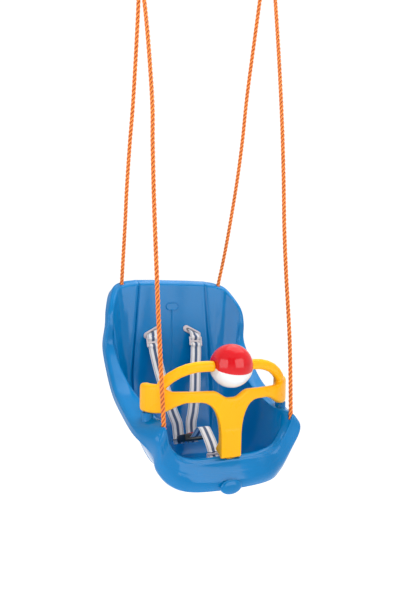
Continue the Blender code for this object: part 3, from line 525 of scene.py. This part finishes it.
def seat_column(number, vectors):
    """Points from the floor's middle over the rim, each with how far its detail stands proud."""
    base, knee, inner, outer, swell, skirt = vectors
    down = (knee - inner).normalized()
    handle_a = knee + down * KNEE_REACH * (knee.z - FLOOR)
    handle_b = base + Vector((knee.x - base.x, knee.y - base.y, 0)) * FLOOR_REACH
    centre = Vector((0, FLOOR_CENTRE_Y, FLOOR))
    points = [(centre.lerp(base, k / FLOOR_ROWS), 0.0) for k in range(1, FLOOR_ROWS)]
    for k in range(CURVE_ROWS):
        t = k / CURVE_ROWS
        points.append((base * (1 - t) ** 3 + handle_b * 3 * t * (1 - t) ** 2
                       + handle_a * 3 * t * t * (1 - t) + knee * t ** 3, 0.0))
    for k in range(WALL_ROWS):
        point = knee.lerp(inner, k / WALL_ROWS)
        crease = 0.0
        if number < 1:
            fade = smoothstep(*CREASE_ENDS[:2], point.z) * (1 - smoothstep(*CREASE_ENDS[2:], point.z))
            crease = -CREASE_DEPTH * math.exp(-(point.x / CREASE_HALF) ** 2) * fade
        points.append((point, crease))
    front = smoothstep(*FRONT_FROM, number)
    for k in range(RIM_ROWS + 1):
        t = k / RIM_ROWS
        bead = BEAD_HEIGHT * math.exp(-((t - BEAD_AT) / BEAD_HALF) ** 2) * front
        ledge = -LEDGE_DEPTH * smoothstep(*LEDGE_AT, t) * front
        points.append((inner.lerp(outer, t) + swell * (1 - (2 * t - 1) ** 4), bead + ledge))
    for k in range(1, SKIRT_ROWS + 1):
        points.append((outer + skirt * (k / SKIRT_ROWS), -LEDGE_DEPTH * front))
    return points


def cutter(bm, matrix=None):
    if matrix is not None:
        bm.transform(matrix)
    bmesh.ops.recalc_face_normals(bm, faces=bm.faces[:])
    bmesh.ops.translate(bm, verts=bm.verts[:], vec=SEAT)
    mesh = bpy.data.meshes.new("cutter")
    bm.to_mesh(mesh)
    bm.free()
    obj = bpy.data.objects.new("cutter", mesh)
    bpy.context.scene.collection.objects.link(obj)
    return obj


def seat_cutters():
    tools = []
    for side in (1, -1):
        x, y = FRONT_HOLE
        tools.append(cutter(cylinder(ROPE_HOLE, (side * x, y, -0.03), (side * x, y, 0.03))))
        x, y = REAR_HOLE
        tools.append(cutter(cylinder(ROPE_HOLE, (side * x, y, 0.244), (side * x, y, 0.275))))
        place = Matrix.Translation((side * SLOT_CENTRE[0], SLOT_PLANE, SLOT_CENTRE[1]))
        place = place @ Matrix.Rotation(side * SLOT_SLANT, 4, "Y")
        tools.append(cutter(prism(stadium(SLOT_LENGTH, SLOT_WIDTH), 0.04), place))
    place = Matrix.Translation((CROTCH_SLOT[0], CROTCH_SLOT[1], FLOOR))
    tools.append(cutter(prism(stadium(0.031, SLOT_WIDTH), 0.03, "Z"), place))
    wide, deep = TENON_HALF
    tools.append(cutter(box((-wide, TENON_Y - deep, -0.085), (wide, TENON_Y + deep, -0.05))))
    tools.append(cutter(cylinder(0.0046, (LATCH_X, -0.035, CATCH_Z), (LATCH_X, -0.005, CATCH_Z))))
    return tools


def seat():
    bm = bmesh.new()
    middle = bm.verts.new((0, FLOOR_CENTRE_Y, FLOOR))
    columns = []
    offsets = {}
    for number, vectors in seat_vectors():
        row = []
        for point, proud in seat_column(number, vectors):
            vert = bm.verts.new(point)
            row.append(vert)
            if proud:
                offsets[vert] = proud
        columns.append(row)
    for i, here in enumerate(columns):
        there = columns[(i + 1) % len(columns)]
        bm.faces.new((middle, here[0], there[0]))
        for k in range(len(here) - 1):
            bm.faces.new((here[k], here[k + 1], there[k + 1], there[k]))
    bmesh.ops.recalc_face_normals(bm, faces=bm.faces[:])
    if sum(face.normal.z * face.calc_area() for face in bm.faces) < 0:
        bmesh.ops.reverse_faces(bm, faces=bm.faces[:])
    bm.normal_update()
    rim = [vert for row in columns for vert in row if vert not in offsets]
    bmesh.ops.smooth_vert(bm, verts=rim, factor=0.5, use_axis_x=True, use_axis_y=True, use_axis_z=True)
    moves = [(vert, vert.normal * proud) for vert, proud in offsets.items()]
    for vert, move in moves:
        vert.co += move
    bmesh.ops.translate(bm, verts=bm.verts[:], vec=SEAT)
    mesh = bpy.data.meshes.new("seat_moulding")
    bm.to_mesh(mesh)
    bm.free()
    obj = bpy.data.objects.new("seat_moulding", mesh)
    bpy.context.scene.collection.objects.link(obj)
    mesh.materials.append(MATERIALS["seat"])
    mesh.shade_smooth()
    wall = obj.modifiers.new("wall", "SOLIDIFY")
    wall.thickness = SHELL
    wall.offset = -1.0
    edge = obj.modifiers.new("edge", "BEVEL")
    edge.width = 0.0011
    edge.segments = 3
    edge.limit_method = "ANGLE"
    edge.angle_limit = math.radians(60)
    bake(obj)
    tools = seat_cutters()
    for tool in tools:
        cut = obj.modifiers.new("cut", "BOOLEAN")
        cut.operation = "DIFFERENCE"
        cut.object = tool
        cut.solver = "EXACT"
    bake(obj)
    for tool in tools:
        bpy.data.objects.remove(tool)
    obj.data.shade_smooth()
    obj.data.set_sharp_from_angle(angle=math.radians(38))
    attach(obj, "swing")
    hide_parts("seat_shell")


# Length, width and place in Y of each outline of the badge, in millimetres, from its foot inward.
BADGE_RINGS = ((30.0, 18.0, 277.9), (30.0, 18.0, 275.9), (29.4, 17.4, 275.4), (27.8, 15.8, 275.3),
               (26.8, 14.8, 275.9), (25.6, 13.6, 276.4))
BADGE_HEIGHT = 0.205


def badge():
    """Blank raised badge: a stadium plate with a shallow dished face."""
    rings = []
    for length, width, y in BADGE_RINGS:
        rings.append([Vector((a * MM, y * MM, b * MM + BADGE_HEIGHT)) for a, b in stadium(length, width, 12)])
    add_piece("seat_badge", loft(rings), "seat", "swing")


def peg_collars():
    """Collar and peg on each side of the rim that the guard's cuffs drop over."""
    for side, tag in ((1, "right"), (-1, "left")):
        r = COLLAR_RADIUS
        profile = ((0.001, -0.002), (r + 0.002, -0.002), (r + 0.0008, 0.004), (r, 0.007),
                   (r, COLLAR_TOP - 0.001), (r - 0.001, COLLAR_TOP), (PEG_RADIUS, COLLAR_TOP),
                   (PEG_RADIUS, PEG_TOP - 0.001), (PEG_RADIUS - 0.001, PEG_TOP), (0.0005, PEG_TOP))
        centre = Vector((side * PEG[0], PEG[1], 0))
        add_piece("peg_collar_" + tag, lathe(profile, 48, centre), "seat", "swing")


# ---- guard and ball -------------------------------------------------------------------------
GUARD_VOXEL = 0.0011
GUARD_SMOOTHING = 10


def guard():
    """The guard's body, remeshed finely so that its bars and cuffs run into each other."""
    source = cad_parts["guard_bar"]
    obj = bpy.data.objects.new("guard_moulding", source.data.copy())
    bpy.context.scene.collection.objects.link(obj)
    obj.data.materials.clear()
    obj.data.materials.append(MATERIALS["guard"])
    fine = obj.modifiers.new("fine", "REMESH")
    fine.mode = "VOXEL"
    fine.voxel_size = GUARD_VOXEL
    soft = obj.modifiers.new("soft", "SMOOTH")
    soft.factor = 0.5
    soft.iterations = GUARD_SMOOTHING
    bake(obj)
    obj.data.shade_smooth()
    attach(obj, "guard")
    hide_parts("guard_bar")


def ball():
    """Two-tone ball with flats at its bar ends and a fine joint between the halves."""
    sides = 96
    start = math.acos(BALL_FLAT / BALL_RADIUS)
    rows = 40
    for name, mat, slot, node, sign in (
            ("ball_upper", "ball_red", "ball_red", "ball_upper_shell", 1),
            ("ball_lower", "ball_white", "ball_white", "ball_lower_shell", -1)):
        profile = [(BALL_FLAT, 0.006), (BALL_FLAT, BALL_RADIUS * math.sin(start) - 0.001)]
        profile += [(BALL_RADIUS * math.cos(a), BALL_RADIUS * math.sin(a))
                    for a in (start + k * (math.pi - 2 * start) / rows for k in range(rows + 1))]
        profile += [(-BALL_FLAT, BALL_RADIUS * math.sin(start) - 0.001), (-BALL_FLAT, 0.006)]
        rings = []
        for k in range(sides + 1):
            angle = math.pi * k / sides
            lip = 0.0006 * math.exp(-min(k, sides - k) / 0.7)
            ring = []
            for x, r in profile:
                r -= lip
                ring.append(Vector((x, sign * r * math.cos(angle), sign * r * math.sin(angle))))
            ring.append(Vector((-BALL_FLAT, 0, 0)))
            ring.append(Vector((BALL_FLAT, 0, 0)))
            rings.append(ring)
        bm = loft(rings)
        bmesh.ops.remove_doubles(bm, verts=bm.verts[:], dist=0.00001)
        bm.transform(Matrix.Translation(BALL_CENTRE) @ Matrix.Rotation(BALL_TILT, 4, "X"))
        add_piece(name, bm, mat, "ball", (node,), smooth=50)


BOSS_CENTRE = Vector((LATCH_X, -0.0285, -0.1075))
BOSS_RADII = (0.0215, 0.0065, 0.0135)
STEM_RADIUS = 0.004
STEM_ENDS = (-0.031, -0.0065)
CATCH_HALF = 0.002           # half thickness of the catch
CATCH_OUTER = ((LATCH_X - 0.004, -0.008), (0.012, 0.007))        # corners of its frame in plan
CATCH_INNER = ((-0.0085, -0.0047), (0.0085, 0.0048))             # corners of its window
LATCH_SPRING_ENDS = (0.0075, 0.0175)             # in Y, moving end first
BUCKLE_SPRING_Y = -0.0075
BUCKLE_SPRING_ENDS = (-0.0008, -0.0042)          # through the buckle's thickness, moving end first


def latch():
    """Flat domed boss under the front rim, with the stem and catch behind it."""
    bm = bmesh.new()
    bmesh.ops.create_uvsphere(bm, u_segments=64, v_segments=40, radius=1.0,
                              matrix=Matrix.Rotation(math.pi / 2, 4, "X"))
    bmesh.ops.bisect_plane(bm, geom=bm.verts[:] + bm.edges[:] + bm.faces[:], plane_co=(0, 0, 0),
                           plane_no=(0, 1, 0), clear_outer=True)
    bmesh.ops.holes_fill(bm, edges=bm.edges[:], sides=0)
    bm.transform(Matrix.Translation(BOSS_CENTRE) @ Matrix.Diagonal((*BOSS_RADII, 1)))
    parts = [cylinder(STEM_RADIUS, (LATCH_X, STEM_ENDS[0], CATCH_Z), (LATCH_X, STEM_ENDS[1], CATCH_Z))]
    low = CATCH_Z - CATCH_HALF
    high = CATCH_Z + CATCH_HALF
    (left, front), (right, back) = CATCH_OUTER
    (window_left, window_front), (window_right, window_back) = CATCH_INNER
    for near, far in (((left, front, low), (right, window_front, high)),
                      ((left, window_back, low), (right, back, high)),
                      ((left, front, low), (window_left, back, high)),
                      ((window_right, front, low), (right, back, high))):
        parts.append(box(near, far))
    for part in parts:
        mesh = bpy.data.meshes.new("part")
        part.to_mesh(mesh)
        part.free()
        bm.from_mesh(mesh)
        bpy.data.meshes.remove(mesh)
    add_piece("latch_boss", bm, "seat", "latch", ("latch_button",))


def spring(name, node, moving, pressed, seated):
    """Return spring between the end its button presses and the end it sits on, copied from the CAD coil and
    smoothed.
    """
    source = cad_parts[node]
    obj = bpy.data.objects.new(name, source.data.copy())
    bpy.context.scene.collection.objects.link(obj)
    obj.matrix_world = source.matrix_world.copy()
    obj.data.materials.clear()
    obj.data.materials.append(MATERIALS["steel"])
    rounder = obj.modifiers.new("rounder", "SUBSURF")
    rounder.levels = 1
    bake(obj)
    obj.data.shade_smooth()
    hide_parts(node)
    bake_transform(obj)


def springs():
    ends = [SEAT + Vector((0, y, CATCH_Z)) for y in LATCH_SPRING_ENDS]
    spring("latch_coil", "latch_spring", "latch", *ends)
    place = Matrix.Translation(SEAT + Vector(BUCKLE_CENTRE)) @ Matrix.Rotation(BUCKLE_PITCH, 4, "X")
    ends = [place @ Vector((0, BUCKLE_SPRING_Y, z)) for z in BUCKLE_SPRING_ENDS]
    spring("buckle_coil", "buckle_spring", "buckle_release", *ends)


# ---- harness --------------------------------------------------------------------------------
def ribbon_frames(route, twist_start=0.0, twist_length=0.03):
    points = spline([Vector(p) * MM for p in route], 24)
    travelled = 0.0
    frames = []
    for k, point in enumerate(points):
        if k:
            travelled += (point - points[k - 1]).length
        ahead = (points[min(k + 1, len(points) - 1)] - points[max(k - 1, 0)]).normalized()
        lean = twist_start * (1 - smoothstep(0.011, twist_length, travelled))
        across = Vector((math.cos(lean), 0, -math.sin(lean)))
        across = (across - ahead * across.dot(ahead)).normalized()
        frames.append((travelled, point, across, across.cross(ahead).normalized()))
    return frames


def frame_at(frames, distance):
    for low, high in zip(frames[:-1], frames[1:]):
        if low[0] <= distance <= high[0]:
            t = (distance - low[0]) / max(high[0] - low[0], 1e-9)
            return [low[k].lerp(high[k], t) for k in (1, 2, 3)]
    return list(frames[-1][1:])


# Distances from a glide's middle where the webbing leaves its middle bar, reaches its outer bar, leaves
# that and runs straight again.
WEAVE_STOPS = (0.0020, 0.0064, 0.0104, 0.0135)
WEAVE_REACH = 0.0137


def weave_offset(distance, centre):
    """How far the webbing stands off its straight line as it passes over and under a glide's bars."""
    away = abs(distance - centre)
    middle_end, outer_start, outer_end, straight = WEAVE_STOPS
    if away > straight:
        return 0.0
    if away > outer_end:
        return -WEAVE * (straight - away) / (straight - outer_end)
    if away > outer_start:
        return -WEAVE
    if away > middle_end:
        return WEAVE - 2 * WEAVE * (away - middle_end) / (outer_start - middle_end)
    return WEAVE


def strap(name, frames, glide, node):
    """Webbing with rounded edges, threaded through its glide."""
    total = frames[-1][0]
    count = round(total / 0.0011)
    lanes = 12
    section = [(-1 + 2 * k / lanes, -1) for k in range(lanes + 1)]
    section += [(1 - 2 * k / lanes, 1) for k in range(lanes + 1)]
    across_uv = [(a + 1) / 2 for a, _ in section]
    rings = []
    lengths = []
    for i in range(count + 1):
        stop = total * i / count
        centre, across, out = frame_at(frames, stop)
        if abs(stop - glide) < WEAVE_REACH:
            flat_centre, across, out = frame_at(frames, glide)
            centre = flat_centre + out.cross(across) * (stop - glide) + out * weave_offset(stop, glide)
        ring = []
        for a, b in section:
            edge = 1 - 0.45 * max(abs(a) - 0.9, 0) / 0.1
            ring.append(centre + across * (a * WEB_WIDTH / 2) + out * (b * edge * WEB_THICK / 2))
        rings.append(ring)
        lengths.append(stop / WEB_WIDTH)
    bm = loft(rings, uv=True, lengths=lengths, across=across_uv)
    return add_piece(name, bm, "web", None, (node,), smooth=70)


def harness():
    for side, tag in ((1, "right"), (-1, "left")):
        route = [(side * x, y, z) for x, y, z in SHOULDER_ROUTE]
        frames = ribbon_frames(route, side * SLOT_SLANT, 0.045)
        node = "shoulder_strap_" + tag
        web = strap("web_shoulder_" + tag, frames, ADJUSTER_AT, node)
        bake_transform(web)
    web = strap("web_crotch", ribbon_frames(CROTCH_ROUTE), CROTCH_GLIDE_AT, "crotch_strap")
    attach(web, "swing")


# ---- ropes ----------------------------------------------------------------------------------
STRANDS = 3
STRAND_RADIUS = 0.00200
STRAND_ORBIT = 0.00232
LAY_LENGTH = 0.0257


def loop_points(x, face):
    arc = [(face * -LOOP_RADIUS * math.cos(a), LOOP_LIFT + LOOP_RADIUS * math.sin(a))
           for a in (math.radians(v) for v in (0, 45, 90, 135, 180))]
    points = [(-face * PAIR_HALF, FERRULE[0] - 0.010), (-face * PAIR_HALF, FERRULE[0]),
              (-face * PAIR_HALF, FERRULE[1]), (-face * 0.0066, -0.020), (-face * LOOP_RADIUS, -0.009)]
    points += arc
    points += [(face * LOOP_RADIUS, -0.009), (face * 0.0066, -0.020), (face * PAIR_HALF, FERRULE[1]),
               (face * PAIR_HALF, FERRULE[0])]
    return [Vector((x, y, z)) for y, z in points]


def rope_route(side, hole, foot, face, x_top, bends):
    """The rope's route in the row frame, from its loop at the ring to its hole in the seat."""
    route = loop_points(side * x_top, face)
    top = Vector((side * x_top, face * PAIR_HALF, FERRULE[0] - 0.004))
    low = Vector((side * hole[0], hole[1], hole[2])) + SEAT
    for share, across in bends:
        route.append(top.lerp(low, share) + Vector((across * MM, 0, 0)))
    route.append(low)
    route.append(low + Vector((0, 0, foot)))
    return route


def path_frames(points):
    """Parallel-transported frames along a path, for winding strands round it."""
    normal = Vector((1, 0, 0))
    frames = []
    for k, point in enumerate(points):
        ahead = (points[min(k + 1, len(points) - 1)] - points[max(k - 1, 0)]).normalized()
        normal = (normal - ahead * normal.dot(ahead)).normalized()
        frames.append((point, normal.copy(), ahead.cross(normal)))
    return frames


def twisted_rope(name, points, body, node, phase):
    frames = path_frames(points)
    spacing = (points[1] - points[0]).length
    whole = bmesh.new()
    layer = whole.loops.layers.uv.new("lay")
    sides = 10
    turns = [2 * math.pi * i / sides for i in range(sides)]
    for strand in range(STRANDS):
        rows = []
        centres = []
        for k, (point, u, v) in enumerate(frames):
            turn = phase + 2 * math.pi * (strand / STRANDS + k * spacing / LAY_LENGTH)
            centres.append(point + (u * math.cos(turn) + v * math.sin(turn)) * STRAND_ORBIT)
        for k, centre in enumerate(centres):
            ahead = (centres[min(k + 1, len(centres) - 1)] - centres[max(k - 1, 0)]).normalized()
            outward = (centre - frames[k][0]).normalized()
            side = ahead.cross(outward).normalized()
            around = [outward * math.cos(a) + side * math.sin(a) for a in turns]
            rows.append([whole.verts.new(centre + spoke * STRAND_RADIUS) for spoke in around])
        for i in range(len(rows) - 1):
            for k in range(sides):
                j = (k + 1) % sides
                face = whole.faces.new((rows[i][k], rows[i][j], rows[i + 1][j], rows[i + 1][k]))
                corners = ((k, i), (k + 1, i), (k + 1, i + 1), (k, i + 1))
                for loop, (a, b) in zip(face.loops, corners):
                    loop[layer].uv = (a / sides + strand * 4, b * spacing)
        whole.faces.new(rows[0][::-1])
        whole.faces.new(rows[-1])
    return add_piece(name, whole, "rope", body, (node,), smooth=60, shift=False)


KNOT_REACH = 0.0042
KNOT_RISE = 0.0026
KNOT_STRAND = 0.0031
KNOT_STEPS = 90
FRONT_KNOT = Vector((0.002, 0.004, -0.030))      # from the hole at the rim's surface: out, back and up
REAR_KNOT = Vector((0.0, 0.003, -0.0208))


def knot(name, centre, turned, node):
    """Stopper knot, drawn as a small closed trefoil of rope."""
    points = []
    for k in range(KNOT_STEPS):
        a = 2 * math.pi * k / KNOT_STEPS
        reach = KNOT_REACH * (2 + math.cos(3 * a)) / 2
        flat = Vector((reach * math.cos(2 * a), reach * math.sin(2 * a), KNOT_RISE * math.sin(3 * a)))
        points.append(centre + Matrix.Rotation(turned, 3, "Z") @ flat)
    rings = []
    lengths = []
    for k in range(KNOT_STEPS + 1):
        here = points[k % KNOT_STEPS]
        ahead = (points[(k + 1) % KNOT_STEPS] - points[(k - 1) % KNOT_STEPS]).normalized()
        u = ahead.orthogonal().normalized()
        if rings:
            u = (last - ahead * last.dot(ahead)).normalized()
        last = u
        v = ahead.cross(u)
        rings.append([here + (u * math.cos(a) + v * math.sin(a)) * KNOT_STRAND
                      for a in (2 * math.pi * i / 12 for i in range(12))])
        lengths.append(k * 0.0012)
    add_piece(name, loft(rings, uv=True, lengths=lengths), "rope", "swing", (node,), smooth=60)


def hanging_ring(side, tag):
    """Steel ring whose lowest wire lies on the hanging axis."""
    rings = []
    for i in range(120):
        a = 2 * math.pi * i / 120
        ring = []
        for j in range(24):
            b = 2 * math.pi * j / 24
            reach = RING_RADIUS + RING_WIRE * math.cos(b)
            ring.append(Vector((side * RING_HALF_SPAN + reach * math.cos(a), RING_WIRE * math.sin(b),
                                RING_RADIUS + reach * math.sin(a))))
        rings.append(ring)
    add_piece("ring_" + tag, loft(rings, closed=True), "steel", "hangers", ("hanger_ring_" + tag,),
              shift=False)


def hangers():
    for side, tag in ((1, "right"), (-1, "left")):
        hanging_ring(side, tag)
        for end, hole, surface, foot, face, x_top in (
                ("front", FRONT_HOLE, FRONT_SURFACE, FRONT_FOOT, -1, FRONT_ROPE_TOP),
                ("rear", REAR_HOLE, REAR_SURFACE, REAR_FOOT, 1, REAR_ROPE_TOP)):
            key = end + "_" + tag
            route = rope_route(side, (hole[0], hole[1], surface), foot, face, x_top, BENDS[key])
            points = resample(spline(route, 12), 0.0021)
            obj = twisted_rope("rope_twisted_" + key, points, "swing", "rope_" + key, side + len(end))
        flip = Vector((side, 1, 1))
        centre = (Vector((*FRONT_HOLE, FRONT_SURFACE)) + FRONT_KNOT) * flip
        knot("knot_wound_front_" + tag, centre, side, "knot_front_" + tag)
        centre = (Vector((*REAR_HOLE, REAR_SURFACE)) + REAR_KNOT) * flip
        knot("knot_wound_rear_" + tag, centre, side + 1, "knot_rear_" + tag)


# ---- carried-over CAD nodes -----------------------------------------------------------------
def dress(node, mat, bevel=0.0):
    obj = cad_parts[node]
    obj.data.materials.clear()
    obj.data.materials.append(MATERIALS[mat])
    if bevel:
        edge = obj.modifiers.new("edge", "BEVEL")
        edge.width = bevel
        edge.segments = 2
        edge.limit_method = "ANGLE"
        edge.angle_limit = math.radians(35)
        edge.harden_normals = False


def dress_nodes():
    dress("ball_axle", "steel")
    dress("buckle_body", "black", 0.0006)
    dress("buckle_button", "button", 0.0004)
    dress("crotch_adjuster", "trim", 0.0003)
    dress("crotch_anchor", "trim", 0.0003)
    for tag in ("left", "right"):
        dress("buckle_tongue_" + tag, "steel", 0.0003)
        dress("slot_bezel_" + tag, "trim", 0.0004)
        dress("strap_adjuster_" + tag, "trim", 0.0003)
        dress("strap_anchor_" + tag, "trim", 0.0003)
        for end in ("front_", "rear_"):
            dress("ferrule_" + end + tag, "black", 0.0004)


# ---- camera, light and floor ----------------------------------------------------------------
CAMERA_PLACE = Vector((-0.5093, -0.9089, 0.2420))
CAMERA_YAW = math.radians(26.05)
CAMERA_PITCH = math.radians(3.43)
CAMERA_ROLL = math.radians(0.86)
LENS = 51.74
SHIFT_X = 0.0007
SHIFT_Y = 0.0601
FLOOR_DROP = 1.30
FLOOR_SIZE = 200.0
FLOOR_GLOW = 0.76
SKY_LIGHT = 0.36             # strength of the surroundings as light,
SKY_SEEN = 1.05              # to the camera,
SKY_MIRRORED = 0.6           # and in reflections, as a share of the way between those two


def camera_axes():
    forward = Vector((math.sin(CAMERA_YAW) * math.cos(CAMERA_PITCH),
                      math.cos(CAMERA_YAW) * math.cos(CAMERA_PITCH), -math.sin(CAMERA_PITCH)))
    level = Vector((math.cos(CAMERA_YAW), -math.sin(CAMERA_YAW), 0))
    up = level.cross(forward)
    right = level * math.cos(CAMERA_ROLL) + up * math.sin(CAMERA_ROLL)
    up = up * math.cos(CAMERA_ROLL) - level * math.sin(CAMERA_ROLL)
    return right, up, forward


def camera():
    right, up, forward = camera_axes()
    data = bpy.data.cameras.new("camera")
    data.lens = LENS
    data.sensor_width = 36.0
    data.sensor_fit = "HORIZONTAL"
    data.shift_x = SHIFT_X
    data.shift_y = SHIFT_Y
    data.clip_start = 0.01
    data.clip_end = 400.0
    obj = bpy.data.objects.new("camera", data)
    bpy.context.scene.collection.objects.link(obj)
    turn = Matrix((right, up, -forward)).transposed().to_4x4()
    turn.translation = CAMERA_PLACE + SEAT
    obj.matrix_world = turn
    bpy.context.scene.camera = obj


def softbox(name, direction, distance, size, power, glow):
    """Soft area light, with a panel as bright as its glow that only reflections see."""
    target = SEAT + Vector((0, 0.05, 0.08))
    place = target + direction.normalized() * distance
    turn = (place - target).to_track_quat("Z", "Y").to_matrix().to_4x4()
    turn.translation = place
    data = bpy.data.lights.new(name, "AREA")
    data.shape = "RECTANGLE"
    data.size = size[0]
    data.size_y = size[1]
    data.energy = power
    lamp = bpy.data.objects.new(name, data)
    bpy.context.scene.collection.objects.link(lamp)
    lamp.matrix_world = turn
    lamp.visible_glossy = False
    lamp.visible_camera = False
    bm = bmesh.new()
    bmesh.ops.create_grid(bm, x_segments=1, y_segments=1, size=0.5)
    bm.transform(Matrix.Diagonal((size[0], size[1], 1, 1)))
    mesh = bpy.data.meshes.new(name + "_panel")
    bm.to_mesh(mesh)
    bm.free()
    mat = bpy.data.materials.new(name + "_panel")
    mat.use_nodes = True
    mat.node_tree.nodes.clear()
    out = mat.node_tree.nodes.new("ShaderNodeOutputMaterial")
    emit = mat.node_tree.nodes.new("ShaderNodeEmission")
    emit.inputs["Strength"].default_value = glow
    mat.node_tree.links.new(emit.outputs[0], out.inputs["Surface"])
    mesh.materials.append(mat)
    panel = bpy.data.objects.new(name + "_panel", mesh)
    bpy.context.scene.collection.objects.link(panel)
    panel.matrix_world = turn
    panel.visible_camera = False
    panel.visible_diffuse = False
    panel.visible_shadow = False


def studio():
    right, up, forward = camera_axes()
    softbox("key", right * 0.67 + up * 0.27 - forward * 0.73, distance=1.9, size=(1.6, 1.4),
            power=5.0, glow=3.8)
    softbox("fill", -right * 0.67 + up * 0.24 - forward * 0.73, distance=1.9, size=(1.6, 1.4),
            power=7.0, glow=3.6)
    softbox("front", up * 0.45 - forward * 0.85, distance=2.0, size=(1.5, 1.2), power=13.0, glow=0.2)
    softbox("top", up * 1.0 + forward * 0.30 + right * 0.25, distance=1.8, size=(1.6, 1.6),
            power=44.0, glow=2.0)
    world = bpy.data.worlds.new("studio")
    world.use_nodes = True
    tree = world.node_tree
    back = tree.nodes["Background"]
    back.inputs["Color"].default_value = (1, 1, 1, 1)
    path = tree.nodes.new("ShaderNodeLightPath")
    level = tree.nodes.new("ShaderNodeMapRange")
    level.inputs["To Min"].default_value = SKY_LIGHT
    level.inputs["To Max"].default_value = SKY_SEEN
    mirrored = tree.nodes.new("ShaderNodeMath")
    mirrored.operation = "MULTIPLY_ADD"
    mirrored.inputs[1].default_value = SKY_MIRRORED
    tree.links.new(path.outputs["Is Glossy Ray"], mirrored.inputs[0])
    tree.links.new(path.outputs["Is Camera Ray"], mirrored.inputs[2])
    tree.links.new(mirrored.outputs[0], level.inputs["Value"])
    tree.links.new(level.outputs["Result"], back.inputs["Strength"])
    bpy.context.scene.world = world
    bm = bmesh.new()
    bmesh.ops.create_grid(bm, x_segments=1, y_segments=1, size=FLOOR_SIZE)
    mesh = bpy.data.meshes.new("floor")
    bm.to_mesh(mesh)
    bm.free()
    shader = Shader("floor_paint")
    shader.link(shader.ramp(shader.noise(3.0), ((0.2, (0.86, 0.86, 0.86)), (0.8, (0.9, 0.9, 0.9)))),
                shader.main.inputs["Base Color"])
    shader.main.inputs["Roughness"].default_value = 0.9
    shader.main.inputs["Specular IOR Level"].default_value = 0.0
    shader.main.inputs["Emission Color"].default_value = (1.0, 1.0, 1.0, 1.0)
    shader.main.inputs["Emission Strength"].default_value = FLOOR_GLOW
    mesh.materials.append(shader.mat)
    floor = bpy.data.objects.new("floor", mesh)
    bpy.context.scene.collection.objects.link(floor)
    floor.location = (0, 0, SEAT.z - FLOOR_DROP)
    view = bpy.context.scene.view_settings
    view.view_transform = "Standard"
    view.look = "None"
    view.exposure = 0.0


camera()
hangers()
seat()
badge()
peg_collars()
guard()
ball()
latch()
springs()
harness()
dress_nodes()
studio()
